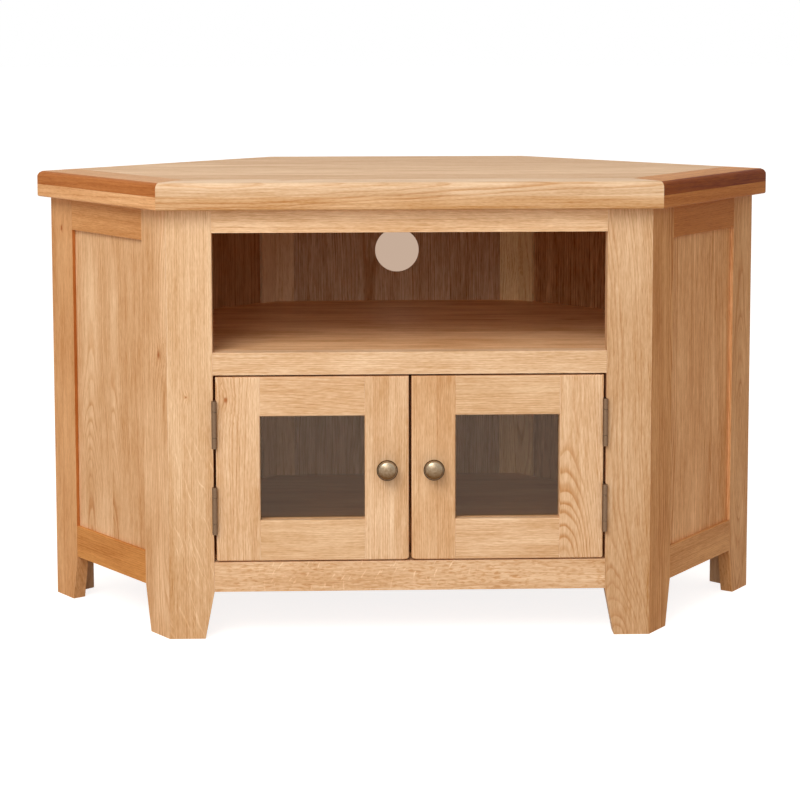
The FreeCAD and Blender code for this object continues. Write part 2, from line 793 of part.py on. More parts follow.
def make_front_stiles(post_screws):
    """The wide posts of the front, mitred to the side frames behind their arris."""
    mitre = meet_on_first("front_frame_thickness", "side_frame_thickness", "side_angle")
    corners = [
        ("opening_half", "0"),
        ("front_corner_x", "0"),
        (f"front_corner_x + {mitre}", "front_frame_thickness"),
        ("opening_half", "front_frame_thickness"),
    ]
    body = board("front_stile_blank", "front", corners, "0", "carcass_height")
    cut_foot(
        body,
        [
            ("opening_half", "foot_height"),
            ("opening_half - foot_taper", "foot_height"),
            ("opening_half - foot_taper", "0"),
            ("opening_half + foot_taper", "0"),
        ],
    )
    return keep_pair(cut_out("front_stile_right", body, [post_screws]))


def make_side_frames():
    """Framed sides: tapered stiles, two rails and a panel set back in their grooves."""
    front_mitre = meet_on_second("front_frame_thickness", "side_frame_thickness", "side_angle")
    rear_mitre = meet_on_first("side_frame_thickness", "back_frame_thickness", "outer_turn")
    front_stile = board(
        "side_front_stile_right", "side",
        [
            ("0", "0"),
            ("side_front_stile_width", "0"),
            ("side_front_stile_width", "side_frame_thickness"),
            (front_mitre, "side_frame_thickness"),
        ],
        "0", "carcass_height",
    )
    cut_foot(
        front_stile,
        [
            ("side_front_stile_width", "foot_height"),
            ("side_front_stile_width - foot_taper", "0"),
            ("side_front_stile_width + foot_taper", "0"),
            ("side_front_stile_width + foot_taper", "foot_height"),
        ],
    )
    rear_edge = "side_length - side_rear_stile_width"
    rear_stile = board(
        "side_rear_stile_right", "side",
        [
            (rear_edge, "0"),
            ("side_length", "0"),
            (f"side_length + {rear_mitre}", "side_frame_thickness"),
            (rear_edge, "side_frame_thickness"),
        ],
        "0", "carcass_height",
    )
    cut_foot(
        rear_stile,
        [
            (rear_edge, "foot_height"),
            (f"{rear_edge} - foot_taper", "foot_height"),
            (f"{rear_edge} - foot_taper", "0"),
            (f"{rear_edge} + foot_taper", "0"),
        ],
    )
    for stile in (front_stile, rear_stile):
        box_feature(stile, "SubtractiveBox", stile.Name + "_groove", *SIDE_PANEL)
    rail_size = ("side_rail_length", "side_frame_thickness", "side_rail_height")
    for name, low_z in (("bottom", "foot_height"), ("top", "carcass_height - side_rail_height")):
        low = ("side_front_stile_width", "0", low_z)
        keep_pair(plank(f"side_{name}_rail_right", "side", low, rail_size, [SIDE_PANEL]))
    keep_pair(plank("side_panel_right", "side", *SIDE_PANEL))
    return keep_pair(front_stile) + keep_pair(rear_stile)


def make_back_frames():
    """The edges that face the room's walls: straight stiles, bent corner posts, rails and panels."""
    stile_mitre = meet_on_second("side_frame_thickness", "back_frame_thickness", "outer_turn")
    stile = board(
        "back_stile_right", "wall",
        [
            ("0", "0"),
            ("back_stile_width", "0"),
            ("back_stile_width", "back_frame_thickness"),
            (stile_mitre, "back_frame_thickness"),
        ],
        "0", "carcass_height",
    )
    box_feature(stile, "SubtractiveBox", "back_stile_groove", *WALL_PANEL)
    post = board(
        "back_post_blank", "back",
        [
            ("-back_post_width * cos(wall_turn)", "back_post_width * sin(wall_turn)"),
            ("0", "0"),
            ("back_post_width", "0"),
            ("back_post_width", "back_frame_thickness"),
            ("back_frame_thickness * tan(wall_turn / 2)", "back_frame_thickness"),
            ("back_frame_thickness * sin(wall_turn) - back_post_width * cos(wall_turn)",
             "back_post_width * sin(wall_turn) + back_frame_thickness * cos(wall_turn)"),
        ],
        "0", "carcass_height",
    )
    box_feature(post, "SubtractiveBox", "back_post_groove", *BACK_PANEL)
    wall_panel = plank("wall_panel_right", "wall", *WALL_PANEL)
    posts = keep_pair(cut_out("back_post_right", post, [wall_panel]))
    keep_pair(wall_panel)
    make_back_panel()
    make_back_rails()
    return keep_pair(stile) + posts


def make_back_panel():
    """The short back panel with its round hole for cables."""
    panel = plank("back_panel", "back", *BACK_PANEL)
    hole = panel.newObject("PartDesign::SubtractiveCylinder", "cable_hole")
    hole.Placement = FreeCAD.Placement(FreeCAD.Vector(0, 0, 0), TILTS["y"])
    bind(
        hole,
        Radius="cable_hole_radius", Height="back_frame_thickness",
        Placement__Base__x="back_corner_x", Placement__Base__y="0",
        Placement__Base__z="open_bay_floor + open_bay_height / 2",
    )
    keep(panel)


def make_back_rails():
    """The top and bottom rails between the stiles and posts at the back."""
    rails = []
    for level, low_z in (("bottom", "foot_height"), ("top", "carcass_height - back_rail_height")):
        slant = plank(
            f"slant_{level}_rail", "wall", ("back_stile_width", "0", low_z),
            ("wall_rail_length", "back_frame_thickness", "back_rail_height"), [WALL_PANEL],
        )
        rear = plank(
            f"rear_{level}_rail", "back", ("back_post_width", "0", low_z),
            ("back_rail_length", "back_frame_thickness", "back_rail_height"), [BACK_PANEL],
        )
        rails += [slant, mirror(f"slant_{level}_rail_left", slant), rear]
    keep(group("back_rails", rails))


def make_front_rails():
    """Three rails between the front posts: over the open bay, over the doors and under them."""
    levels = {
        "front_top_rail": ("carcass_height - front_top_rail_height", "front_top_rail_height"),
        "front_middle_rail": ("door_bay_top", "middle_rail_height"),
        "front_bottom_rail": ("foot_height", "front_bottom_rail_height"),
    }
    for name, (low_z, height) in levels.items():
        low = ("-opening_half", "0", low_z)
        keep(plank(name, "front", low, ("opening_width", "front_frame_thickness", height)))


def inner_outline(side_offset, back_offset):
    """The plan inside the walls, at given distances from their outer faces."""
    along = "(side_length + " + meet_on_first(side_offset, back_offset, "outer_turn") + ")"
    half = [
        ("front_corner_x + " + meet_on_first("front_frame_thickness", side_offset, "side_angle"),
         "front_face_y + front_frame_thickness"),
        (f"front_corner_x + {along} * cos(side_angle) - {side_offset} * sin(side_angle)",
         f"front_face_y + {along} * sin(side_angle) + {side_offset} * cos(side_angle)"),
        (f"back_corner_x - {back_offset} * tan(wall_turn / 2)", f"back_face_y - {back_offset}"),
    ]
    return half + [flip(corner) for corner in reversed(half)]


def make_shelves(uprights, floor_screws):
    """The shelf, notched round the stiles and posts, and the floor board between the rails."""
    shelf = board(
        "shelf_blank", "plan", inner_outline("side_inner", "back_inner"),
        "open_bay_floor - shelf_thickness", "shelf_thickness",
    )
    keep(cut_out("shelf", shelf, list(uprights)))
    floor = board(
        "floor_blank", "plan", inner_outline("side_frame_thickness", "back_frame_thickness"),
        "floor_top - floor_board_thickness", "floor_board_thickness",
    )
    keep(cut_out("floor_board", floor, list(floor_screws)))


def make_cleats():
    """Strips under the shelf and the floor board, fixed to the walls all round."""
    runs = {
        "side": ("side", "side_front_stile_width / 2", "side_frame_thickness",
                 "side_length - side_front_stile_width / 2 - side_rear_stile_width / 2"),
        "wall": ("wall", "wall_cleat_start", "back_frame_thickness",
                 "wall_length - wall_cleat_start - back_post_width / 2"),
        "rear": ("back", "back_post_width / 2", "back_frame_thickness",
                 "2 * back_corner_x - back_post_width"),
    }
    boards = {
        "shelf": "open_bay_floor - shelf_thickness",
        "floor": "floor_top - floor_board_thickness",
    }
    cleats = []
    for under, top_z in boards.items():
        for name, (frame, start, face, length) in runs.items():
            strip = plank(
                f"{under}_{name}_cleat", frame, (start, face, f"{top_z} - cleat_width"),
                (length, "cleat_width", "cleat_width"),
            )
            cleats.append(strip)
            if frame != "back":
                cleats.append(mirror(strip.Label + "_left", strip))
    keep(group("board_cleats", cleats))


def check_document():
    """Stop if a feature failed or a node has no sound shape."""
    failed = [item.Name for item in doc.Objects if {"Invalid", "Error"} & set(item.State)]
    for node in NODES:
        if node.Shape.isNull() or not node.Shape.isValid() or not node.Shape.Solids:
            failed.append(node.Label)
    if failed:
        raise RuntimeError("these objects failed: " + ", ".join(failed))


post_screws = group("post_screws_right", leaf_screws("post", "opening_half - leaf_thickness", "x"))
catch_right, catch_screws = make_catch()
right_screws = group("cabinet_screws_right", [post_screws] + catch_screws)
left_screws = mirror("cabinet_screws_left", right_screws)
keep(group("hinge_and_catch_screws", [right_screws, left_screws]))
catch_group = group("catch_screws_right", catch_screws)
catch = cut_out("catch_right", catch_right, [catch_group])
keep(group("magnetic_catches", [catch, mirror("catch_left", catch)]))

TOP_SCREWS = make_top_fixings()
make_top()
make_front_stiles(post_screws)
uprights = make_side_frames() + make_back_frames()
make_front_rails()
make_shelves(uprights, [catch_group, mirror("catch_screws_left", catch_group)])
make_cleats()
door_screws = make_door_fittings()
make_doors(door_screws)
make_knob()
make_hinges(post_screws, door_screws)

doc.recompute()
check_document()
for node in NODES:
    node.Shape.exportStep(f"parts/{node.Label}.step")
print(len(NODES), "nodes")
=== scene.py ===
# %% [markdown]
# # An oak corner tv unit
#
# The cabinet comes in as a finished construction: boards, panels, doors and hinges, each a mesh of
# its own in one shared frame, in metres. This lesson dresses it. It puts up a small studio and a
# camera, grows oak for every board, eases the boards' edges, and makes the glass and the metalwork.

# %% Load the construction
import json
import math
from functools import partial

import bmesh
import bpy
from mathutils import Euler, Matrix, Vector


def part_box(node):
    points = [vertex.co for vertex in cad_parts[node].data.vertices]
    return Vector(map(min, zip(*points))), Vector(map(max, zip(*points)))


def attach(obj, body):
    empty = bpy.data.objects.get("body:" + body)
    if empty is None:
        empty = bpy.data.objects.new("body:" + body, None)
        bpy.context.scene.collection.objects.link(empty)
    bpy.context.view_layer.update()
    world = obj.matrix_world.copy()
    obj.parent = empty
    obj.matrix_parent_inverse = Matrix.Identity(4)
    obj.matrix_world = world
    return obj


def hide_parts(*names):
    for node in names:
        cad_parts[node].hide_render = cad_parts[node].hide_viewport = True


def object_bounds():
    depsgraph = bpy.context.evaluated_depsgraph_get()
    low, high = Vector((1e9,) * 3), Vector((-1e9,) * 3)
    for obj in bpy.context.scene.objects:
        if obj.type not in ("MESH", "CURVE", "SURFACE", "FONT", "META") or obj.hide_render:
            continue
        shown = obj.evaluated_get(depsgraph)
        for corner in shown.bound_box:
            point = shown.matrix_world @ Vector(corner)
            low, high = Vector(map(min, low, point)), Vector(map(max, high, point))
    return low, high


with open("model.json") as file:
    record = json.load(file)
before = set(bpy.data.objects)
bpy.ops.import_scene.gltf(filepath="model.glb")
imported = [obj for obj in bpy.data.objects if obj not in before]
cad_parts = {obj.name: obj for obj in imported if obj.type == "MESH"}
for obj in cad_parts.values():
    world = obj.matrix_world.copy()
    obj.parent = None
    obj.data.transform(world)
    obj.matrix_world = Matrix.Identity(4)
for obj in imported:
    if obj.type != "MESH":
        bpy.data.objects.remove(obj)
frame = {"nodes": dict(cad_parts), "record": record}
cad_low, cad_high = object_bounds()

print("nodes:", len(frame["nodes"]), "box:", [round(high - low, 4) for low, high in zip(cad_low, cad_high)])

# %% [markdown]
# ## The camera
#
# A cabinet is photographed from chest height with a long lens, so that its upright edges stay nearly
# parallel. A view camera keeps them quite parallel with a large downward shift, but such a shift
# would push the cabinet out of the frame from other sides. So this camera tilts down a little, and
# the shift does only a part of the work.

# %% Camera
FRAME_PIXELS = 800
SENSOR_WIDTH = 36.0
FOCAL_PIXELS = 2132.5
CAMERA_PLACE = Vector((-0.1032, -2.9472, 0.7829))
CAMERA_TURN = math.radians(-1.925)
CAMERA_TILT = math.radians(5.68)
CAMERA_ROLL = math.radians(-0.075)
CAMERA_SHIFT = -0.2

camera_data = bpy.data.cameras.new("camera")
camera_data.sensor_width = SENSOR_WIDTH
camera_data.lens = FOCAL_PIXELS / FRAME_PIXELS * SENSOR_WIDTH
camera_data.shift_y = CAMERA_SHIFT
camera_data.dof.use_dof = False
camera = bpy.data.objects.new("camera", camera_data)
camera.matrix_world = (
    Matrix.Translation(CAMERA_PLACE)
    @ Matrix.Rotation(CAMERA_TURN, 4, "Z")
    @ Matrix.Rotation(math.pi / 2 - CAMERA_TILT, 4, "X")
    @ Matrix.Rotation(CAMERA_ROLL, 4, "Z")
)
bpy.context.scene.collection.objects.link(camera)
bpy.context.scene.camera = camera
bpy.context.scene.view_settings.view_transform = "Standard"
print("lens:", round(camera_data.lens, 1), "mm")

# %% [markdown]
# ## Small helpers for node trees
#
# A material is a tree of nodes. Wiring each socket by hand hides what the tree does, so each of
# these helpers adds one node, feeds it, and hands back what it puts out. A value that is a socket is
# linked, and any other value is set.

# %% Helpers for nodes
def feed(tree, socket, value):
    """Link a socket to what feeds it, or set it."""
    if isinstance(value, bpy.types.NodeSocket):
        tree.links.new(value, socket)
    else:
        socket.default_value = value


def calc(tree, operation, *values):
    """One number worked out from others."""
    node = tree.nodes.new("ShaderNodeMath")
    node.operation = operation
    for socket, value in zip(node.inputs, values):
        feed(tree, socket, value)
    return node.outputs[0]


def vector_calc(tree, operation, *values):
    """One vector worked out from others, or one number for a length or a dot product."""
    node = tree.nodes.new("ShaderNodeVectorMath")
    node.operation = operation
    sockets = [node.inputs[0], node.inputs["Scale"]] if operation == "SCALE" else node.inputs
    for socket, value in zip(sockets, values):
        feed(tree, socket, value)
    return node.outputs["Value" if operation in ("LENGTH", "DOT_PRODUCT") else "Vector"]


def noise(tree, vector, detail=2.0, output="Fac"):
    """Soft random values, one blob to a unit of the vector."""
    node = tree.nodes.new("ShaderNodeTexNoise")
    node.inputs["Scale"].default_value = 1.0
    node.inputs["Detail"].default_value = detail
    feed(tree, node.inputs["Vector"], vector)
    return node.outputs[output]


def step_between(tree, value, low, high):
    """A smooth step from 0 at low to 1 at high."""
    node = tree.nodes.new("ShaderNodeMapRange")
    node.interpolation_type = "SMOOTHSTEP"
    for name, setting in (("Value", value), ("From Min", low), ("From Max", high)):
        feed(tree, node.inputs[name], setting)
    return node.outputs["Result"]

# %% [markdown]
# ## Colours and groups
#
# Colours are judged on a screen, so they are written as a screen shows them and turned into the
# renderer's scale. A group packs a tree of nodes into one node with named sockets.

# %% Helpers for colours and groups
MIX_SHARE, MIX_FIRST, MIX_SECOND, MIX_RESULT = 0, 6, 7, 2
SCREEN_WHITE = 255
SCREEN_GAMMA = 2.2
SOCKET_KINDS = {"f": "NodeSocketFloat", "v": "NodeSocketVector", "c": "NodeSocketColor"}


def mix_colours(tree, share, first, second):
    """Two colours blended. The node names its sockets alike for every kind, so they go by place."""
    node = tree.nodes.new("ShaderNodeMix")
    node.data_type = "RGBA"
    for place, setting in ((MIX_SHARE, share), (MIX_FIRST, first), (MIX_SECOND, second)):
        feed(tree, node.inputs[place], setting)
    return node.outputs[MIX_RESULT]


def screen_colour(red, green, blue):
    """A colour as a screen shows it, 0 to 255, turned into the renderer's own scale."""
    return tuple((value / SCREEN_WHITE) ** SCREEN_GAMMA for value in (red, green, blue)) + (1.0,)


def new_group(name, inputs, outputs):
    """A shader node group with named sockets; returns its tree, inner inputs and inner output node."""
    tree = bpy.data.node_groups.new(name, "ShaderNodeTree")
    for way, sockets in (("INPUT", inputs), ("OUTPUT", outputs)):
        for label, kind in sockets.items():
            tree.interface.new_socket(label, in_out=way, socket_type=SOCKET_KINDS[kind])
    return tree, tree.nodes.new("NodeGroupInput").outputs, tree.nodes.new("NodeGroupOutput").inputs


# %% [markdown]
# ## Oak
#
# A board is a slice through a trunk, so its figure is a slice through the trunk's rings. A picture
# of oak wrapped on a box would break at every edge. Here each board stands in a trunk of its own:
# the rings are cylinders round a heart line, bent by slow noise, and the board's surface cuts them.
# Near the heart the cut shows arches, far to its side it shows straight lines, and the end grain
# comes out right by itself. All of it goes into one node group, which the next cells build.

# %% The oak group and its sockets
OAK_INPUTS = {
    "Vector": "v", "Seed": "f", "Wear And Highlight": "f", "Wood": "c", "Heart": "v", "Lean": "v", "Swell": "f",
    "Swell Centre": "f", "Swell Reach": "f", "Ring Width": "f", "Bend": "f", "Figure": "f",
    "Fibres": "v", "Streaks": "f", "Clouds": "f", "Fade": "v", "Pores": "f", "Mottles": "f",
    "Flecks": "f", "Fleck Turn": "f", "Fleck Size": "v", "Fleck Centre": "f", "Fleck Reach": "f",
    "Knot": "v", "Knot Size": "f", "Strip Width": "f", "Strip Start": "f",
}
SEED_STEP = (3.7, 5.3, 2.9)
LOOK = {"Color": "c", "Roughness": "f", "Height": "f"}

oak, given, oak_out = new_group("oak", OAK_INPUTS, LOOK)
number, vector, step = (partial(helper, oak) for helper in (calc, vector_calc, step_between))
times, plus, minus = (partial(number, kind) for kind in ("MULTIPLY", "ADD", "SUBTRACT"))
oak_seed = vector("SCALE", SEED_STEP, given["Seed"])
print("oak group:", len(OAK_INPUTS), "inputs")

# %% [markdown]
# ## Glued strips
#
# A panel is glued up from strips, because no trunk is as wide as a cabinet's side. The first strip
# lies in the trunk as the cut says, and a random draw moves each of the others elsewhere. They
# differ a little in tone as well.

# %% Strips
HALF = 0.5
HALVES = (HALF, HALF, HALF)
STRIP_SEED_STEP = 3.1
STRIP_MOVES = (0.16, 0.02, 0.5)

across = oak.nodes.new("ShaderNodeSeparateXYZ")
feed(oak, across.inputs[0], given["Vector"])
strip = number("DIVIDE", across.outputs["X"], given["Strip Width"])
strip = number("FLOOR", plus(strip, given["Strip Start"]))
other_strip = number("MINIMUM", number("ABSOLUTE", strip), 1.0)
draw = oak.nodes.new("ShaderNodeTexWhiteNoise")
draw.noise_dimensions = "1D"
feed(oak, draw.inputs["W"], number("MULTIPLY_ADD", given["Seed"], STRIP_SEED_STEP, strip))
moved = vector("SUBTRACT", draw.outputs["Color"], HALVES)
moved = vector("SCALE", vector("MULTIPLY", moved, STRIP_MOVES), other_strip)
strip_tone = times(minus(draw.outputs["Value"], HALF), other_strip)
oak_place = vector("ADD", given["Vector"], moved)
lengthwise = oak.nodes.new("ShaderNodeSeparateXYZ")
feed(oak, lengthwise.inputs[0], oak_place)
along = lengthwise.outputs["Z"]


def sample(scale, detail=2.0, output="Fac"):
    """Noise in the trunk, with so many blobs to a metre across, through and along the grain."""
    spread = vector("MULTIPLY", oak_place, scale)
    return noise(oak, vector("ADD", spread, oak_seed), detail, output)


def uneven_by(scale, detail=2.0):
    """The same noise round zero."""
    return minus(sample(scale, detail), HALF)


def uneven_way(scale, detail):
    """Noise that points in a random way."""
    return vector("SUBTRACT", sample(scale, detail, "Color"), HALVES)


print("nodes so far:", len(oak.nodes))

# %% [markdown]
# ## The knot and the heart line
#
# A branch leaves a knot, and the rings swerve round it. The distance from it is drawn out along the
# grain and made uneven, so the knot is no neat circle. The heart line of a trunk isn't straight: it
# leans, and where it comes nearer to the board's face, the cut shows pointed arches.

# %% Knot and heart line
KNOT_STRETCH = (1, 0.2, 0.6)
KNOT_GRAIN = (260, 260, 200)
KNOT_POWER = 1.5
KNOT_FALL = -0.5
KNOT_CORE = (0.1, 0.6)

to_knot = vector("SUBTRACT", oak_place, given["Knot"])
to_knot = vector("LENGTH", vector("MULTIPLY", to_knot, KNOT_STRETCH))
knot_far = number("DIVIDE", to_knot, given["Knot Size"])
knot_far = times(knot_far, plus(sample(KNOT_GRAIN), HALF))
knot_swell = times(number("POWER", knot_far, KNOT_POWER), KNOT_FALL)
knot_swell = number("EXPONENT", knot_swell)
knot_core = minus(1.0, step(knot_far, *KNOT_CORE))

from_centre = minus(along, given["Swell Centre"])
from_centre = number("DIVIDE", from_centre, given["Swell Reach"])
swell = times(times(from_centre, from_centre), -1.0)
swell = times(number("EXPONENT", swell), given["Swell"])
heart = vector("ADD", given["Heart"], vector("SCALE", given["Lean"], along))
heart = vector("ADD", heart, vector("SCALE", (0, 1, 0), swell))
print("nodes so far:", len(oak.nodes))

# %% [markdown]
# ## Rings
#
# A ring is counted by the distance from the heart line. Slow noise bends the rings, and faster noise
# ripples them. Years differ: noise along the count makes some rings narrow and faint, others wide
# and strong. In each ring the early wood starts abruptly and fades slowly.

# %% Rings
BEND_SCALE = (7, 7, 2.2)
RIPPLE_SCALE = (38, 38, 9)
RIPPLE_SHARE = 0.22
KNOT_RINGS = 1.6
YEAR_SCALE = 0.45
YEAR_RINGS = 2.2
EARLY_RISE = (0.0, 0.14)
EARLY_FALL = (0.1, 0.62)
STRONG_YEARS = (0.35, 0.62)
FAINT_YEAR = 0.3
PATCH_SCALE = (60, 60, 5)
FAINT_PATCH = 0.35

ripple = uneven_way(RIPPLE_SCALE, 2.0)
bent = vector("SCALE", ripple, RIPPLE_SHARE)
bent = vector("ADD", uneven_way(BEND_SCALE, 1.0), bent)
away = vector("SUBTRACT", oak_place, heart)
away = vector("ADD", away, vector("SCALE", bent, given["Bend"]))
away = vector("LENGTH", vector("MULTIPLY", away, (1, 1, 0)))
rings = number("DIVIDE", away, given["Ring Width"])
rings = plus(rings, times(knot_swell, KNOT_RINGS))
years = oak.nodes.new("ShaderNodeCombineXYZ")
feed(oak, years.inputs[0], times(rings, YEAR_SCALE))
year = noise(oak, vector("ADD", years.outputs[0], oak_seed))
rings = plus(rings, times(year, YEAR_RINGS))
phase = number("FRACT", rings)
early = minus(1.0, step(phase, *EARLY_FALL))
early = times(step(phase, *EARLY_RISE), early)
strength = plus(FAINT_YEAR, step(year, *STRONG_YEARS))
strength = times(strength, plus(FAINT_PATCH, sample(PATCH_SCALE)))
ring = times(times(early, strength), given["Figure"])
print("nodes so far:", len(oak.nodes))

# %% [markdown]
# ## Streaks, mottles and pores
#
# Between its rings oak is streaky: clouds, bands, and fibres as fine as a hair. Each is the same
# noise, stretched along the grain, at a scale of its own. Where the saw meets the rays side on,
# small dark mottles show. The pores are short open grooves, mostly in the early wood.

# %% Streaks, mottles and pores
CLOUD_SCALE = (26, 26, 7)
BAND_SCALE = (150, 150, 6)
FINE_SCALE = (1000, 1000, 130)
MOTTLE_SCALE = (420, 420, 120)
MOTTLE_RANGE = (0.5, 0.66)
MOTTLE_PATCHES = (30, 30, 12)
PORE_SCALE = (1700, 1700, 90)
PORE_RANGE = (0.52, 0.68)
LATE_PORES = 0.3

cloud = uneven_by(CLOUD_SCALE)
band = uneven_by(BAND_SCALE)
fibre = uneven_by(given["Fibres"])
fine = uneven_by(FINE_SCALE, 1.0)
mottle = times(sample(MOTTLE_PATCHES), given["Mottles"])
mottle = times(step(sample(MOTTLE_SCALE), *MOTTLE_RANGE), mottle)
pore = step(sample(PORE_SCALE, 1.0), *PORE_RANGE)
pore = times(pore, plus(LATE_PORES, early))
pore = times(pore, given["Pores"])
print("nodes so far:", len(oak.nodes))

# %% [markdown]
# ## Flecks
#
# Rays run out from the heart of an oak like spokes. A board sawn along them shows them as pale,
# slender flecks that lie aslant. They are the peaks of a turned and stretched noise, and they fade
# out beyond the part of the board that the cut along the rays reaches.

# %% Flecks
RAY_RIPPLE = 0.018
FLECK_RANGE = (0.66, 0.78)
FLECK_HEART = 0.6

turned = oak.nodes.new("ShaderNodeVectorRotate")
turned.rotation_type = "Y_AXIS"
rippled = vector("ADD", oak_place, vector("SCALE", ripple, RAY_RIPPLE))
feed(oak, turned.inputs["Vector"], rippled)
feed(oak, turned.inputs["Angle"], given["Fleck Turn"])
rays = vector("DIVIDE", turned.outputs[0], given["Fleck Size"])
rays = noise(oak, vector("ADD", rays, oak_seed), 0.0)
from_flecks = number("ABSOLUTE", minus(along, given["Fleck Centre"]))
full_reach = times(given["Fleck Reach"], FLECK_HEART)
reached = step(from_flecks, full_reach, given["Fleck Reach"])
fleck = times(step(rays, *FLECK_RANGE), given["Flecks"])
fleck = times(fleck, minus(1.0, reached))
print("nodes so far:", len(oak.nodes))

# %% [markdown]
# ## The colours of the wood
#
# Where oak is darker it is also redder, so each tone scales red, green and blue unlike. The eased
# edges are painted paler and smoother, though not evenly: partly wear from hands and cloths, partly a
# painted highlight. A slope of tone along a board paints light and shade as light falls on it. The
# satin finish is duller in the pores.

# %% Colours, roughness and relief
CLEAR_TONE = (0.6, 0.95, 1.4)
BAND_TONE = 0.7
FIBRE_TONE = 0.95
FINE_TONE = 0.5
STRIP_TONE = 0.24
EARLY_COLOUR = (0.76, 0.58, 0.4)
PORE_COLOUR = (0.6, 0.42, 0.28)
FLECK_COLOUR = (1.16, 1.24, 1.34)
KNOT_COLOUR = (0.55, 0.3, 0.17)
WORN_AND_HIGHLIT_COLOUR = (1.08, 1.13, 1.2)
KNOT_SHADE = (0.5, 0.25)
WORN_AND_HIGHLIT_PATCHES = (45, 45, 30)
WORN_AND_HIGHLIT_RANGE = (0.3, 0.6)
SATIN_ROUGHNESS = 0.48
FINE_ROUGHNESS = 0.14
PORE_ROUGHNESS = 0.3
POLISH = 0.08
FIBRE_RELIEF = 0.3


def wood_times(factors):
    """The wood's colour scaled by three factors."""
    return vector("MULTIPLY", wood, factors)


streaks = number("MULTIPLY_ADD", fibre, FIBRE_TONE, times(band, BAND_TONE))
streaks = times(streaks, given["Streaks"])
streaks = plus(streaks, times(cloud, given["Clouds"]))
streaks = number("MULTIPLY_ADD", fine, FINE_TONE, streaks)
# A tone slope along one way of the board: painted light and shade, for boards that light reaches unevenly.
painted_shade = vector("DOT_PRODUCT", given["Vector"], given["Fade"])
streaks = number("MULTIPLY_ADD", strip_tone, STRIP_TONE, plus(streaks, painted_shade))
tone = vector("ADD", (1, 1, 1), vector("SCALE", CLEAR_TONE, streaks))
wood = vector("MULTIPLY", given["Wood"], tone)
near_knot = times(knot_swell, number("MULTIPLY_ADD", early, *KNOT_SHADE))
# Paler, smoother eased edges: partly wear, partly a painted highlight.
wear_and_painted_light = step(sample(WORN_AND_HIGHLIT_PATCHES), *WORN_AND_HIGHLIT_RANGE)
wear_and_painted_light = times(given["Wear And Highlight"], wear_and_painted_light)

deep = wood_times(EARLY_COLOUR)
colour = mix_colours(oak, number("MAXIMUM", ring, mottle), wood, deep)
colour = mix_colours(oak, pore, colour, wood_times(PORE_COLOUR))
colour = mix_colours(oak, fleck, colour, wood_times(FLECK_COLOUR))
colour = mix_colours(oak, near_knot, colour, deep)
colour = mix_colours(oak, knot_core, colour, wood_times(KNOT_COLOUR))
feed(oak, oak_out["Color"], mix_colours(oak, wear_and_painted_light, colour, wood_times(WORN_AND_HIGHLIT_COLOUR)))

rough = number("MULTIPLY_ADD", fine, FINE_ROUGHNESS, SATIN_ROUGHNESS)
rough = number("MULTIPLY_ADD", pore, PORE_ROUGHNESS, rough)
smooth = times(number("MAXIMUM", fleck, wear_and_painted_light), POLISH)
feed(oak, oak_out["Roughness"], minus(rough, smooth))
feed(oak, oak_out["Height"], minus(times(fibre, FIBRE_RELIEF), pore))
print("oak group:", len(oak.nodes), "nodes")

# %% [markdown]
# ## How each board lies in its trunk
#
# The grain always runs along a board. So the way of the grain can be read from the board's own
# shape: its longest way is the grain, its thinnest way faces the eye. Each solid of a node is
# measured on its own, because one node can hold boards that lie in different directions.

# %% Read the lay of a board
side_panel_low, side_panel_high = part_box("side_panel_right")
SIDE_TURN = math.atan2(side_panel_high.y - side_panel_low.y, side_panel_high.x - side_panel_low.x)
BACK_EDGE_TURNS = (math.radians(135), math.radians(45))
TURNS = (0.0, SIDE_TURN, -SIDE_TURN, *BACK_EDGE_TURNS)


def read_lay(points):
    """The turn of the mapping that stands a board in its trunk, its middle, and the way it faces."""
    def spread(way):
        reaches = [point.dot(way) for point in points]
        return max(reaches) - min(reaches)

    upward = spread(Vector((0, 0, 1)))
    turn = min(TURNS, key=lambda angle: spread(Vector((-math.sin(angle), math.cos(angle), 0))))
    facing = Vector((-math.sin(turn), math.cos(turn), 0))
    length = spread(Vector((math.cos(turn), math.sin(turn), 0)))
    thickness = spread(facing)
    if upward >= max(length, thickness):
        way = (0, 0, turn)
    elif upward < thickness:
        way = (math.pi / 2, 0, math.pi / 2 + turn)
        facing = Vector((0, 0, 1))
    else:
        way = (0, math.pi / 2, turn)
    low = Vector(map(min, *points))
    high = Vector(map(max, *points))
    return way, (low + high) / 2, facing


print("side turn:", round(math.degrees(SIDE_TURN), 2), "degrees")

# %% [markdown]
# ## Tones
#
# The oak of one cabinet comes from several trees, and the tone goes by the tree. Two boards of one
# tone still differ, because each has a seed of its own.

# %% Tones of the oak
PALE = screen_colour(250, 215, 162)
STRAW = screen_colour(236, 195, 153)
WHEAT = screen_colour(243, 200, 155)
HONEY = screen_colour(234, 191, 148)
SAND = screen_colour(229, 190, 150)
HAY = screen_colour(229, 186, 142)
BUFF = screen_colour(241, 191, 141)
AMBER = screen_colour(227, 180, 134)
RYE = screen_colour(218, 174, 131)
APRICOT = screen_colour(231, 173, 120)
GOLD = screen_colour(217, 160, 108)
FAWN = screen_colour(206, 165, 130)
COPPER = screen_colour(211, 150, 95)
BRONZE = screen_colour(206, 138, 74)
TAWNY = screen_colour(186, 131, 87)
RUSSET = screen_colour(190, 118, 60)
CHESTNUT = screen_colour(181, 110, 58)
UMBER = screen_colour(137, 68, 19)

# %% [markdown]
# ## Kinds of cut
#
# A joiner picks quiet, straight-grained oak for most rails and stiles and lets a livelier board in
# here and there. A cut is given by where the heart lies from the board's middle: across it, behind
# it, and how it leans along it. The plain cut holds whatever a board's own cut doesn't say.

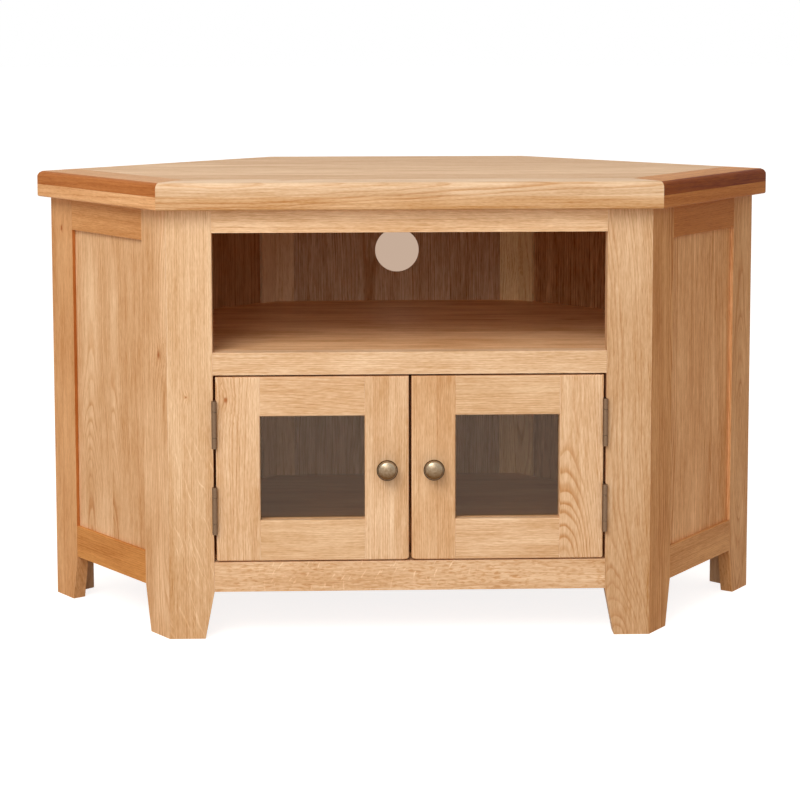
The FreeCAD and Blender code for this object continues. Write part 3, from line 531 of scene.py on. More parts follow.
# %% Kinds of cut
PLAIN_CUT = {
    "Lean": (0, 0, 0), "Swell": 0.0, "Swell Centre": 0.0, "Swell Reach": 0.1, "Fibres": (640, 640, 42),
    "Streaks": 0.7, "Clouds": 0.55, "Fade": (0, 0, 0), "Pores": 0.3, "Mottles": 0.0, "Flecks": 0.0,
    "Fleck Turn": 0.0, "Fleck Size": (0.002, 0.02, 0.03), "Fleck Centre": 0.0, "Fleck Reach": 1.0,
    "Knot": (0.5, 0.5, 0.5), "Knot Size": 0.001, "Strip Width": 10.0, "Strip Start": 0.5,
}
QUIET = {"Heart": (0.16, 0.05, 0), "Ring Width": 0.0024, "Bend": 0.008, "Figure": 0.36}
STRAIGHT = {"Heart": (0.2, 0.02, 0), "Ring Width": 0.0029, "Bend": 0.008, "Figure": 0.45}
WAVY = {"Heart": (0.04, 0.04, 0), "Ring Width": 0.003, "Bend": 0.03, "Figure": 0.6}
ARCHED = {
    "Heart": (0.0, 0.04, 0), "Swell": -0.024, "Swell Centre": -0.22, "Swell Reach": 0.16,
    "Ring Width": 0.003, "Bend": 0.016, "Figure": 0.7,
}
# The slope across the thickness paints the top's front edge darker towards the bottom: painted shade.
TOP_EDGE = {
    "Heart": (0.02, -0.05, 0), "Lean": (0.01, 0.03, 0), "Ring Width": 0.0036, "Bend": 0.03,
    "Fibres": (560, 560, 14), "Fade": (0, 12.0, 0), "Figure": 0.75,
}
print("settings of a cut:", len(PLAIN_CUT))

# %% [markdown]
# ## The boards of the front
#
# The left post was sawn along the rays, so it shows flecks, and a pin knot sits above its middle.
# The rails are quiet, and only the lowest has flecks again. Each row starts with the start of a
# node's name and gives a tone, a kind of cut, and what is special.

# %% Cuts of the front and the doors
# Both front posts get a slope that paints them lighter towards the top: painted light from above.
CUTS = {
    "front_stile_left": (HAY, STRAIGHT, {
        "Fade": (0, 0, 0.55), "Flecks": 0.75, "Fleck Turn": math.radians(17),
        "Fleck Size": (0.0015, 0.03, 0.045), "Fleck Centre": -0.15, "Fleck Reach": 0.16,
        "Knot": (-0.005, -0.011, 0.0375), "Knot Size": 0.0026,
    }),
    "front_stile_right": (RYE, ARCHED, {
        "Heart": (-0.03, 0.032, 0), "Lean": (-0.08, 0, 0), "Swell": -0.02, "Swell Centre": -0.31,
        "Swell Reach": 0.1, "Ring Width": 0.0027, "Bend": 0.028, "Fade": (0, 0, 0.4), "Figure": 0.5,
    }),
    "front_top_rail": (WHEAT, QUIET, {}),
    "front_middle_rail": (STRAW, QUIET, {}),
    "front_bottom_rail": (HONEY, WAVY, {
        "Mottles": 1.3, "Flecks": 0.9, "Fleck Turn": math.radians(68), "Fleck Size": (0.0028, 0.03, 0.013),
        "Fleck Centre": -0.06, "Fleck Reach": 0.17, "Figure": 0.4,
    }),
    "door_hinge_stile_left": (HONEY, WAVY, {"Knot": (-0.015, -0.01, 0.09), "Knot Size": 0.0066}),
    "door_hinge_stile_right": (HONEY, ARCHED, {
        "Heart": (-0.022, 0.037, 0), "Swell": -0.028, "Swell Centre": -0.14, "Swell Reach": 0.13,
        "Ring Width": 0.0026, "Figure": 0.85,
    }),
    "door_meeting_stile": (HONEY, STRAIGHT, {"Clouds": 0.8}),
    "door_meeting_stile_right": (AMBER, STRAIGHT, {"Clouds": 1.0}),
    "door_top_rail_left": (HONEY, WAVY, {"Figure": 0.4}),
    "door_top_rail_right": (HAY, STRAIGHT, {}),
    "door_bottom_rail": (HONEY, QUIET, {"Clouds": 0.8}),
    "door_bottom_rail_left": (HAY, QUIET, {"Clouds": 0.8}),
}
print("cuts so far:", len(CUTS))

# %% [markdown]
# ## The boards of the sides and the top
#
# The sides are redder and livelier than the front, and their panels are glued up from strips. The
# front edge of the top cuts through long waves, and it is painted darker towards the bottom of its
# thickness: a painted shade, as light falls from above.

# %% Cuts of the sides and the top
CUTS.update({
    "side_front_stile": (AMBER, WAVY, {"Clouds": 1.1, "Knot": (0.012, -0.009, 0.09), "Knot Size": 0.008}),
    "side_front_stile_right": (COPPER, WAVY, {"Bend": 0.04, "Figure": 0.9, "Clouds": 1.0}),
    "side_rear_stile": (GOLD, QUIET, {"Clouds": 0.9, "Knot": (-0.005, -0.009, 0.235), "Knot Size": 0.007}),
    "side_rear_stile_right": (GOLD, ARCHED, {
        "Heart": (0.002, 0.035, 0), "Swell Centre": -0.1, "Swell Reach": 0.2, "Bend": 0.03, "Clouds": 0.9,
    }),
    "side_panel": (AMBER, ARCHED, {
        "Heart": (-0.06, 0.04, 0), "Bend": 0.026, "Clouds": 0.8, "Strip Width": 0.14, "Strip Start": 1.0,
    }),
    "side_panel_right": (APRICOT, WAVY, {
        "Heart": (-0.1, 0.03, 0), "Ring Width": 0.0036, "Figure": 1.1, "Streaks": 1.0, "Clouds": 0.8,
        "Strip Width": 0.13, "Strip Start": 0.9,
    }),
    "side_top_rail": (COPPER, QUIET, {}),
    "side_top_rail_right": (RUSSET, QUIET, {}),
    "side_bottom_rail": (BRONZE, STRAIGHT, {"Clouds": 0.9}),
    "side_bottom_rail_right": (COPPER, STRAIGHT, {"Clouds": 0.9}),
    "top_front": (SAND, TOP_EDGE, {}),
    "top_front_edging": (HAY, TOP_EDGE, {}),
    "top_side_board": (GOLD, QUIET, {}),
    "top_side_board_right": (BRONZE, QUIET, {"Streaks": 1.3, "Clouds": 1.4}),
    "top_side_edging": (APRICOT, QUIET, {}),
    "top_side_edging_right": (RUSSET, QUIET, {}),
    "top_field": (HAY, QUIET, {
        "Heart": (0.05, -0.12, 0), "Figure": 0.5, "Strip Width": 0.11, "Strip Start": 0.5,
    }),
})
print("cuts so far:", len(CUTS))

# %% [markdown]
# ## The boards inside and at the back
#
# The panels inside show strong streaks, because nobody picked them for their face. A board without
# a row is quiet honey oak. The two layers of the top's front edge were sawn from one plank, and a
# few boards have another tone on their long edges.

# %% Cuts of the inside and the back
CUTS.update({
    "": (HONEY, QUIET, {}),
    "floor_board": (COPPER, QUIET, {}),
    "back_panel": (FAWN, WAVY, {
        "Heart": (-0.1, 0.03, 0), "Figure": 1.0, "Streaks": 1.4, "Strip Width": 0.095, "Strip Start": 0.3,
    }),
    "back_post_left": (STRAW, WAVY, {"Figure": 0.4}),
    "back_post_right": (PALE, WAVY, {"Figure": 0.7, "Knot": (-0.01, -0.02, 0.15), "Knot Size": 0.007}),
    "wall_panel": (TAWNY, STRAIGHT, {
        "Figure": 0.9, "Streaks": 1.4, "Strip Width": 0.1, "Strip Start": 0.5,
    }),
    "wall_panel_right": (TAWNY, STRAIGHT, {
        "Ring Width": 0.005, "Figure": 1.0, "Streaks": 2.4, "Clouds": 1.0, "Strip Width": 0.06,
        "Strip Start": 0.5,
    }),
    # The shelf's slope setting paints a gradient of light and shade across it: painted light.
    "shelf": (BUFF, WAVY, {
        "Heart": (0.03, -0.04, 0), "Ring Width": 0.005, "Figure": 0.9, "Clouds": 1.2, "Fade": (0.4, 0, 0),
        "Strip Width": 0.12, "Strip Start": 0.5,
    }),
})
SAME_TRUNK = {"top_front_edging": "top_front_board"}
EDGE_TONES = {
    "top_side_board_left": CHESTNUT,
    "top_side_board_right": UMBER,
    "side_rear_stile_left": CHESTNUT,
    "side_rear_stile_right": APRICOT,
}


def cut_of(node):
    """The tone and the cut of a node's oak: the longest key that its name starts with."""
    key = max((key for key in CUTS if node.startswith(key)), key=len)
    tone, cut, own = CUTS[key]
    return tone, {**PLAIN_CUT, **cut, **own}


print("cuts:", len(CUTS))

# %% [markdown]
# ## The oak material
#
# The finish on the real cabinet is a thin satin lacquer: it fills the pores a little and gives a
# soft sheen. So the material is one Principled shader of middling roughness, with a fine bump from
# the pores and fibres. A mapping stands the board in its trunk.

# %% Make oak for one board
WEAR_AND_HIGHLIGHT = "wear_and_highlight"
OAK_RELIEF = 0.35
OAK_RELIEF_DEPTH = 0.0003
OAK_SHEEN = 0.06


def new_material(name):
    """A material that is a node tree; returns it, its tree and its shader."""
    material = bpy.data.materials.new(name)
    material.use_nodes = True
    return material, material.node_tree, material.node_tree.nodes["Principled BSDF"]


def own_place(tree):
    """The place of a shaded point in its object."""
    return tree.nodes.new("ShaderNodeTexCoord").outputs["Object"]


def use_group(tree, group, settings):
    """A node group put into a material, with its sockets fed."""
    node = tree.nodes.new("ShaderNodeGroup")
    node.node_tree = group
    for socket, value in settings.items():
        feed(tree, node.inputs[socket], value)
    return node.outputs


def cover(tree, shader, look, relief, depth):
    """Give a shader the colour, the roughness and, through a bump, the relief that a group puts out."""
    bump = tree.nodes.new("ShaderNodeBump")
    for socket, value in (("Strength", relief), ("Distance", depth), ("Height", look["Height"])):
        feed(tree, bump.inputs[socket], value)
    feed(tree, shader.inputs["Base Color"], look["Color"])
    feed(tree, shader.inputs["Roughness"], look["Roughness"])
    feed(tree, shader.inputs["Normal"], bump.outputs["Normal"])


def make_oak_material(name, tone, cut, way, middle, seed):
    """Oak of a tone and a cut, for a board that lies in the given way round its middle."""
    material, tree, shader = new_material(name)
    mapping = tree.nodes.new("ShaderNodeMapping")
    mapping.vector_type = "TEXTURE"
    for socket, value in (("Vector", own_place(tree)), ("Location", middle), ("Rotation", way)):
        feed(tree, mapping.inputs[socket], value)
    # The mark of the eased edges: paler wear and a painted highlight.
    wear_and_painted_light_mask = tree.nodes.new("ShaderNodeAttribute")
    wear_and_painted_light_mask.attribute_name = WEAR_AND_HIGHLIGHT
    board = {"Vector": mapping.outputs[0], "Wear And Highlight": wear_and_painted_light_mask.outputs["Fac"], "Wood": tone, "Seed": seed}
    look = use_group(tree, oak, {**board, **cut})
    cover(tree, shader, look, OAK_RELIEF, OAK_RELIEF_DEPTH)
    shader.inputs["Specular IOR Level"].default_value = OAK_SHEEN
    return material

# %% [markdown]
# ## A clean copy of a board
#
# The construction comes as loose triangles, which no bevel can follow. So each board is shown by a
# copy of its node with its triangles merged and its flat faces joined. Boards that touch in one node
# are merged one by one, or they would grow together.

# %% Copy a node
BODY_OF = {node: body for body, nodes in frame["record"]["behaviour"]["bodies"].items() for node in nodes}
SLOT_OF = {row["node"]: row["material_slot"] for row in frame["record"]["subparts"]}
MERGE_DISTANCE = 0.00002
PLACES = 6
FLAT_ANGLE = math.radians(0.5)


def solid_corners(shape):
    """The corners of each solid: its triangles follow each other, until every edge has met its match."""
    solids, corners, unmatched = [], {}, set()
    for face in shape.faces:
        points = [tuple(round(value, PLACES) for value in vertex.co) for vertex in face.verts]
        corners.update(dict.fromkeys(face.verts))
        unmatched ^= {frozenset(pair) for pair in zip(points, points[1:] + points[:1])}
        if not unmatched:
            solids.append(list(corners))
            corners = {}
    return solids


def copy_of_node(node):
    """A bmesh of a node with each solid's loose triangles merged and its flat faces joined."""
    shape = bmesh.new()
    shape.from_mesh(frame["nodes"][node].data)
    shape.faces.layers.float.new(WEAR_AND_HIGHLIGHT)
    for corners in solid_corners(shape):
        bmesh.ops.remove_doubles(shape, verts=corners, dist=MERGE_DISTANCE)
    bmesh.ops.dissolve_limit(
        shape, angle_limit=FLAT_ANGLE, verts=shape.verts, edges=shape.edges, delimit={"NORMAL"}
    )
    return shape


print("nodes on bodies:", len(BODY_OF))

# %% [markdown]
# ## Eased edges
#
# A joiner takes the sharpness off every edge with sandpaper, and a sharp edge never catches the
# light. So the long edges get a bevel of half a millimetre, whose faces carry a mark that paints
# them paler: partly wear, partly a painted highlight. Screw holes stay as they are, and the edges of
# a mitre stay sharp, so that its two boards still read as one corner.

# %% Ease edges
SHARP_ANGLE = math.radians(32)
MITRE_SHARE = 0.95


def is_mitre(face, facing):
    """True if an upright face looks neither across the board, nor through it, nor along it."""
    upright = abs(face.normal.z) < 1 - MITRE_SHARE
    across = Vector((-facing.y, facing.x, 0))
    return upright and max(abs(face.normal.dot(way)) for way in (facing, across)) < MITRE_SHARE


def ease_edges(shape, width, least_area, kept_sharp=()):
    """Bevel the sharp outer edges between large enough faces, and mark the new faces for paler wear and a
    painted highlight.
    """
    edges = [
        edge
        for edge in shape.edges
        if len(edge.link_faces) == 2
        and edge.calc_face_angle_signed(0) > SHARP_ANGLE
        and min(face.calc_area() for face in edge.link_faces) > least_area
        and not any(face in kept_sharp for face in edge.link_faces)
    ]
    made = bmesh.ops.bevel(
        shape, geom=edges, offset=width, offset_type="OFFSET", segments=2, profile=0.5,
        affect="EDGES", clamp_overlap=False, material=-1,
    )
    wear_and_painted_light_mask = shape.faces.layers.float[WEAR_AND_HIGHLIGHT]
    for face in made["faces"]:
        face[wear_and_painted_light_mask] = 1.0
    return len(edges)


# %% [markdown]
# ## Rounded corners of the doors
#
# The lower corners of the doors are sanded round, more so where the two doors meet. A bevel can't
# make a corner wider than it is tall, so a fine grid is cut there and drawn in to a quarter of an
# ellipse.

# %% Round a corner
CORNER_STEPS = 5
CUT_MERGE = 0.00001
MEETING_CORNER = (0.0085, 0.0032)
HINGE_CORNER = (0.0025, 0.0025)


def round_corner(shape, corner_x, corner_z, inward, reach):
    """Round a board's lower corner by its reach along and up; returns how many vertices moved."""
    reach_x, reach_z = inward * reach[0], reach[1]
    for step in range(1, CORNER_STEPS + 1):
        share = step / CORNER_STEPS
        upright_cut = (corner_x + share * reach_x, 0, 0), (1, 0, 0)
        level_cut = (0, 0, corner_z + share * reach_z), (0, 0, 1)
        for point, way in (upright_cut, level_cut):
            geometry = [*shape.verts, *shape.edges, *shape.faces]
            bmesh.ops.bisect_plane(shape, geom=geometry, dist=CUT_MERGE, plane_co=point, plane_no=way)
    moved = 0
    for vertex in shape.verts:
        away = Vector((1 - (vertex.co.x - corner_x) / reach_x, 1 - (vertex.co.z - corner_z) / reach_z))
        if min(away) > 0:
            away *= max(away) / away.length
            vertex.co.x = corner_x + (1 - away.x) * reach_x
            vertex.co.z = corner_z + (1 - away.y) * reach_z
            moved += 1
    bmesh.ops.remove_doubles(shape, verts=shape.verts, dist=CUT_MERGE)
    return moved


def round_door_stile(node, shape):
    """Round the lower outer corner of a door's stile, on the side where the door ends."""
    low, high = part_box(node)
    meeting = "meeting" in node
    corner_x, inward = (high.x, -1) if meeting == ("left" in node) else (low.x, 1)
    reach = MEETING_CORNER if meeting else HINGE_CORNER
    print(node, "drawn in:", round_corner(shape, corner_x, low.z, inward, reach))


# %% [markdown]
# ## From a bmesh to a piece
#
# One node can hold several boards, so its solids are told apart to read the lay of each. They are
# taken in the order of the mesh, so that every run gives the same oak. The finished piece moves
# with its node's body and is seen in the node's place.

# %% Solids and pieces
def islands(shape):
    """The separate solids of a bmesh in the order of the mesh, each a list of faces."""
    seen, groups = set(), []
    for first in shape.faces:
        if first in seen:
            continue
        seen.add(first)
        group = [first]
        for face in group:
            for other in (other for edge in face.edges for other in edge.link_faces):
                if other not in seen:
                    seen.add(other)
                    group.append(other)
        groups.append(group)
    return groups


def object_from(name, shape, materials):
    """An object in the scene, made from a bmesh."""
    mesh = bpy.data.meshes.new(name)
    shape.to_mesh(mesh)
    shape.free()
    for material in materials:
        mesh.materials.append(material)
    made = bpy.data.objects.new(name, mesh)
    bpy.context.scene.collection.objects.link(made)
    return made


def finish_piece(name, shape, materials, node):
    """Turn a bmesh into a piece that rides on its node's body and stands for the node."""
    for edge in shape.edges:
        edge.smooth = edge.calc_face_angle(0) < SHARP_ANGLE
    for face in shape.faces:
        face.smooth = True
    piece = object_from(name, shape, materials)
    even = piece.modifiers.new("even shading", "WEIGHTED_NORMAL")
    even.keep_sharp = True
    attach(piece, BODY_OF[node])
    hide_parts(node)
    return piece


# %% [markdown]
# ## Dress every board
#
# A face that looks neither along the grain nor the way its board faces is a long edge, and may have
# a tone of its own. Each way of lying and each tone needs its own material, because the material
# knows how the board stands in its trunk. Boards of one node that lie alike share one.

# %% Ease and dress every wooden node
EASING = 0.0005
LEAST_AREA = 0.00003
OAK_SLOTS = ("frame_oak", "top_oak", "panel_oak")
BROAD_FACE = 0.97
ALONG_GRAIN = 0.1


def tone_of(node, face, tone, facing, grain):
    """The tone of a face: the board's own, or that of the board's long edges."""
    long_edge = abs(face.normal.dot(facing)) < BROAD_FACE and abs(face.normal.dot(grain)) < ALONG_GRAIN
    return EDGE_TONES.get(node, tone) if long_edge else tone


def lay_oak(node, shape):
    """Give each face of a board its oak; returns the materials and the faces of mitres."""
    tone, cut = cut_of(node)
    trunk = SAME_TRUNK.get(node, node)
    materials, mitres = {}, set()
    for group in islands(shape):
        way, middle, facing = read_lay([vertex.co for face in group for vertex in face.verts])
        if trunk != node:
            middle = sum(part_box(trunk), Vector()) / 2
        grain = Euler(way).to_matrix() @ Vector((0, 0, 1))
        for face in group:
            key = (way, tone_of(node, face, tone, facing, grain))
            if key not in materials:
                name = f"oak_{node}_{len(materials) + 1}"
                seed = wooden.index(trunk)
                materials[key] = make_oak_material(name, key[1], cut, way, middle, seed)
            face.material_index = list(materials).index(key)
            if is_mitre(face, facing):
                mitres.add(face)
    return materials.values(), mitres


wooden = sorted(node for node, slot in SLOT_OF.items() if slot in OAK_SLOTS)
eased = 0
for node in wooden:
    shape = copy_of_node(node)
    materials, mitres = lay_oak(node, shape)
    eased += ease_edges(shape, EASING, LEAST_AREA, mitres)
    if node.startswith("door") and "stile" in node:
        round_door_stile(node, shape)
    finish_piece(f"{node}.board", shape, materials, node)
print("boards:", len(wooden), "eased edges:", eased)

# %% [markdown]
# ## Glass
#
# The panes are plain float glass, four millimetres thick, with a faint smear. Rays from a lamp can't
# find their way through a refracting pane by chance, so the cupboard behind it would go black. The
# usual way out is to let the rays that carry lamp light and soft light pass straight, and to keep
# the refraction and the reflection for what the eye sees.

# %% The glass material
SMEAR_SCALE = (18, 18, 9)
SMEAR_RANGE = (0.45, 0.8)
SMEAR_ROUGHNESS = 0.05
GLASS_IOR = 1.39
GLASS_COLOUR = (0.97, 0.92, 0.85, 1)
GLASS_GLEAM = (1.0, 0.84, 0.69, 1)
LIGHT_THROUGH_GLASS = (0.9, 0.86, 0.8, 1)


def show_mix(tree, share, first, second):
    """Make the material look like one shader or another, by the share of the second."""
    mix = tree.nodes.new("ShaderNodeMixShader")
    for socket, value in zip(mix.inputs, (share, first.outputs[0], second.outputs[0])):
        feed(tree, socket, value)
    feed(tree, tree.nodes["Material Output"].inputs["Surface"], mix.outputs[0])


def make_glass():
    """Glass that refracts for the eye and lets lamp light and soft light straight through."""
    material, tree, shader = new_material("pane_glass")
    smear = noise(tree, vector_calc(tree, "MULTIPLY", own_place(tree), SMEAR_SCALE), 3.0)
    smear = calc(tree, "MULTIPLY", step_between(tree, smear, *SMEAR_RANGE), SMEAR_ROUGHNESS)
    feed(tree, shader.inputs["Roughness"], smear)
    plain = {"Base Color": GLASS_COLOUR, "IOR": GLASS_IOR, "Specular Tint": GLASS_GLEAM}
    for socket, value in {**plain, "Transmission Weight": 1.0}.items():
        shader.inputs[socket].default_value = value
    clear = tree.nodes.new("ShaderNodeBsdfTransparent")
    clear.inputs["Color"].default_value = LIGHT_THROUGH_GLASS
    path = tree.nodes.new("ShaderNodeLightPath")
    passes = calc(tree, "MAXIMUM", path.outputs["Is Shadow Ray"], path.outputs["Is Diffuse Ray"])
    show_mix(tree, passes, shader, clear)
    return material


def dress(nodes, material):
    """Give nodes of the construction a material as they stand."""
    for node in nodes:
        mesh = frame["nodes"][node].data
        mesh.materials.clear()
        mesh.materials.append(material)
    print(material.name, "on:", len(nodes), "nodes")


dress(("door_glass_left", "door_glass_right"), make_glass())

# %% [markdown]
# ## Metal
#
# The knobs and hinges are brass that was darkened in a bath and rubbed back, so it is dark and dull
# in its hollows and paler where hands and cloth reach. On top of that, what faces up is painted paler
# and what faces down darker: painted light, as light falls from above. One group makes that patina
# and painted light for both brass and steel from two colours. The knobs take two kinds of brass, the
# hinges a paler one, and the screws and strike plates are zinc-plated steel.

# %% The patina group and the metals
CLOUDS_TO_A_METRE = 420.0
SPECKS_TO_A_METRE = 1400.0
CLOUD_WEAR = 0.35
SPECK_WEAR = 0.25
PAINTED_TOP_LIGHT_SHARE = 0.5
WEAR_AND_TOP_LIGHT_RANGE = (0.2, 0.9)
WEAR_AND_TOP_LIGHT_POLISH = 0.12
SPECK_HEIGHT = 0.5
PAINTED_TOP_LIGHT = (1.1, 0.36)
METAL_RELIEF = 0.2
METAL_RELIEF_DEPTH = 0.0001

PATINA_INPUTS = {"Vector": "v", "Painted Top Light": "f", "Bright": "c", "Dark": "c", "Dullness": "f"}
patina_and_painted_light, bare, patina_out = new_group("patina_and_painted_light", PATINA_INPUTS, LOOK)
stain = noise(patina_and_painted_light, vector_calc(patina_and_painted_light, "SCALE", bare["Vector"], CLOUDS_TO_A_METRE), 4.0)
speck = noise(patina_and_painted_light, vector_calc(patina_and_painted_light, "SCALE", bare["Vector"], SPECKS_TO_A_METRE))
wear_and_painted_light_mask = calc(patina_and_painted_light, "MULTIPLY_ADD", speck, SPECK_WEAR, calc(patina_and_painted_light, "MULTIPLY", stain, CLOUD_WEAR))
wear_and_painted_light_mask = calc(patina_and_painted_light, "MULTIPLY_ADD", bare["Painted Top Light"], PAINTED_TOP_LIGHT_SHARE, wear_and_painted_light_mask)
wear_and_painted_light_mask = step_between(patina_and_painted_light, wear_and_painted_light_mask, *WEAR_AND_TOP_LIGHT_RANGE)
feed(patina_and_painted_light, patina_out["Color"], mix_colours(patina_and_painted_light, wear_and_painted_light_mask, bare["Dark"], bare["Bright"]))
polish = calc(patina_and_painted_light, "MULTIPLY", wear_and_painted_light_mask, WEAR_AND_TOP_LIGHT_POLISH)
feed(patina_and_painted_light, patina_out["Roughness"], calc(patina_and_painted_light, "SUBTRACT", bare["Dullness"], polish))
feed(patina_and_painted_light, patina_out["Height"], calc(patina_and_painted_light, "MULTIPLY_ADD", speck, SPECK_HEIGHT, stain))
print("patina group:", len(patina_and_painted_light.nodes), "nodes")


def make_metal(name, bright, dark, dullness):
    """A metal with patina and painted light: bright where it is rubbed and where it faces up, dark
    elsewhere.
    """
    material, tree, shader = new_material(name)
    facing = tree.nodes.new("ShaderNodeSeparateXYZ")
    feed(tree, facing.inputs[0], tree.nodes.new("ShaderNodeNewGeometry").outputs["Normal"])
    # Painted light: what faces up is painted paler, what faces down darker.
    wear_and_painted_light = calc(tree, "MULTIPLY_ADD", facing.outputs["Z"], *PAINTED_TOP_LIGHT)
    bath = {"Bright": bright, "Dark": dark, "Dullness": dullness}
    look = use_group(tree, patina_and_painted_light, {"Vector": own_place(tree), "Painted Top Light": wear_and_painted_light, **bath})
    cover(tree, shader, look, METAL_RELIEF, METAL_RELIEF_DEPTH)
    shader.inputs["Metallic"].default_value = 1.0
    return material


antique_brass = make_metal("antique_brass", screen_colour(178, 160, 135), screen_colour(96, 70, 44), 0.42)
# Painted shade and patina: the very dark brass of the knobs' rims and backs.
painted_shade_brass = make_metal("painted_shade_brass", screen_colour(66, 42, 16), screen_colour(36, 20, 8), 0.55)
hinge_brass = make_metal("hinge_brass", screen_colour(132, 110, 90), screen_colour(108, 86, 68), 0.45)
zinc = make_metal("zinc_steel", screen_colour(196, 196, 192), screen_colour(150, 150, 148), 0.42)
print("metals:", antique_brass.name, painted_shade_brass.name, hinge_brass.name, zinc.name)

# %% [markdown]
# ## Knobs
#
# A knob like this is turned on a lathe, so it is modelled as a lathe works: half of its outline is
# drawn in a plane through its axis and spun once round. The cap, the rim, the waist and the foot
# then come out of one line. The cap is rubbed, and the rim and all behind it are painted very dark:
# the bath's patina, and painted shade on the rim that turns away, so the cap stands in a dark ring.
# The knob is as large as the plain one of the construction.

# %% Turn the knobs
KNOB_STEPS = 64
NECK_SHARES = (
    (0.0, 0.0), (0.56, 0.0), (0.592, 0.02), (0.592, 0.075), (0.55, 0.11), (0.45, 0.17), (0.385, 0.27),
    (0.37, 0.38), (0.4, 0.46), (0.5, 0.53), (0.68, 0.575), (0.88, 0.6), (0.965, 0.62), (0.992, 0.64),
    (1.0, 0.665), (0.992, 0.69), (0.965, 0.71), (0.925, 0.718),
)
CAP_SHARE = 0.89
CAP_START = 0.715
CAP_POWER = 2.3
CAP_STEPS = 20
KNOB_MERGE = 0.000005


def knob_outline(low, high):
    """Half the knob's outline as (radius, distance from the door), from the foot to the top."""
    rim = (high.x - low.x) / 2
    tall = high.y - low.y
    outline = [(rim * across, tall * along) for across, along in NECK_SHARES]
    for step in range(CAP_STEPS + 1):
        turn = math.pi / 2 * step / CAP_STEPS
        across = CAP_SHARE * math.cos(turn) ** (2 / CAP_POWER)
        rise = (1 - CAP_START) * math.sin(turn) ** (2 / CAP_POWER)
        outline.append((rim * across, tall * (CAP_START + rise)))
    return outline


def turn_knob(node):
    """Spin the outline round the knob's axis, which points out of the door."""
    low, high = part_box(node)
    shape = bmesh.new()
    centre = Vector(((low.x + high.x) / 2, high.y, (low.z + high.z) / 2))
    outline = knob_outline(low, high)
    points = [shape.verts.new(centre + Vector((across, -along, 0))) for across, along in outline]
    lines = [shape.edges.new(pair) for pair in zip(points, points[1:])]
    bmesh.ops.spin(
        shape, geom=points + lines, cent=centre, axis=(0, 1, 0), dvec=(0, 0, 0), angle=math.tau,
        steps=KNOB_STEPS, use_merge=True, use_duplicate=False,
    )
    bmesh.ops.remove_doubles(shape, verts=shape.verts, dist=KNOB_MERGE)
    bmesh.ops.recalc_face_normals(shape, faces=shape.faces)
    cap_start = centre.y - CAP_START * (high.y - low.y)
    # The cap gets the antique brass; the rim and all behind it get the very dark brass of painted shade.
    for face in shape.faces:
        face.material_index = 0 if face.calc_center_median().y < cap_start else 1
    return finish_piece(node + ".turned", shape, [antique_brass, painted_shade_brass], node)


for node in ("knob_left", "knob_right"):
    knob = turn_knob(node)
    print(knob.name, "faces:", len(knob.data.polygons))

# %% [markdown]
# ## Hinges, screws and catches
#
# The hinges keep the construction's shape: leaves in the gap beside the door and three knuckles
# round one pin. Their edges get the same easing as the boards, only finer. The catches are brown
# moulded plastic with a fine matt grain.

# %% Dress the small metal and the catches
METAL_EASING = 0.0002
LEAST_METAL_AREA = 0.000001
PLASTIC_BROWNS = (screen_colour(88, 60, 42), screen_colour(104, 72, 50))
PLASTIC_CLOUD = 60.0
PLASTIC_GRAIN = 1800.0
PLASTIC_ROUGHNESS = (0.2, 0.4)


def make_catch_plastic():
    """Brown plastic, clouded in colour and grained in its sheen."""
    material, tree, shader = new_material("catch_plastic")
    place = own_place(tree)
    grain = noise(tree, vector_calc(tree, "SCALE", place, PLASTIC_GRAIN))
    cloud = noise(tree, vector_calc(tree, "SCALE", place, PLASTIC_CLOUD))
    feed(tree, shader.inputs["Base Color"], mix_colours(tree, cloud, *PLASTIC_BROWNS))
    feed(tree, shader.inputs["Roughness"], calc(tree, "MULTIPLY_ADD", grain, *PLASTIC_ROUGHNESS))
    return material


for node in ("hinge_post_leaves", "hinge_door_leaves_left", "hinge_door_leaves_right", "hinge_pins"):
    shape = copy_of_node(node)
    ease_edges(shape, METAL_EASING, LEAST_METAL_AREA)
    finish_piece(node + ".metal", shape, [hinge_brass], node)
dress((
    "door_screws_left", "door_screws_right", "door_strike_plate_left", "door_strike_plate_right",
    "hinge_and_catch_screws", "top_fixing_screws",
), zinc)
dress(("magnetic_catches",), make_catch_plastic())

# %% [markdown]
# ## Floor and room
#
# The cabinet stands on a wide pale floor in a light room. The room lights it softly from everywhere,
# so that the inside of the bay gets only what comes in through its opening. The floor and the room
# are white to the eye, also in metal and glass, and greyer to the light that they send back. The
# floor sends back a slightly warm light.

# %% Floor and room
ROOM_LIGHT = 0.47
FLOOR_SIZE = 40
FLOOR_SEGMENTS = 8
FLOOR_COLOUR = (0.58, 0.52, 0.46, 1)
FLOOR_ROUGHNESS = 0.9
FLOOR_LIFT = 0.84
WHITE = (1, 1, 1, 1)


def sees_white(tree):
    """1 for rays that show the background: to the eye, in gloss and through glass."""
    path = tree.nodes.new("ShaderNodeLightPath")
    shows = calc(tree, "MAXIMUM", path.outputs["Is Camera Ray"], path.outputs["Is Transmission Ray"])
    return calc(tree, "MAXIMUM", shows, path.outputs["Is Glossy Ray"])


floor_shape = bmesh.new()
bmesh.ops.create_grid(floor_shape, x_segments=FLOOR_SEGMENTS, y_segments=FLOOR_SEGMENTS, size=FLOOR_SIZE)
floor_material, floor_tree, floor_shader = new_material("pale_floor")
plain = {"Base Color": FLOOR_COLOUR, "Roughness": FLOOR_ROUGHNESS, "Specular IOR Level": 0.0}
for socket, value in {**plain, "Emission Color": WHITE}.items():
    floor_shader.inputs[socket].default_value = value
lift = calc(floor_tree, "MULTIPLY", sees_white(floor_tree), FLOOR_LIFT)
feed(floor_tree, floor_shader.inputs["Emission Strength"], lift)
object_from("floor", floor_shape, [floor_material])

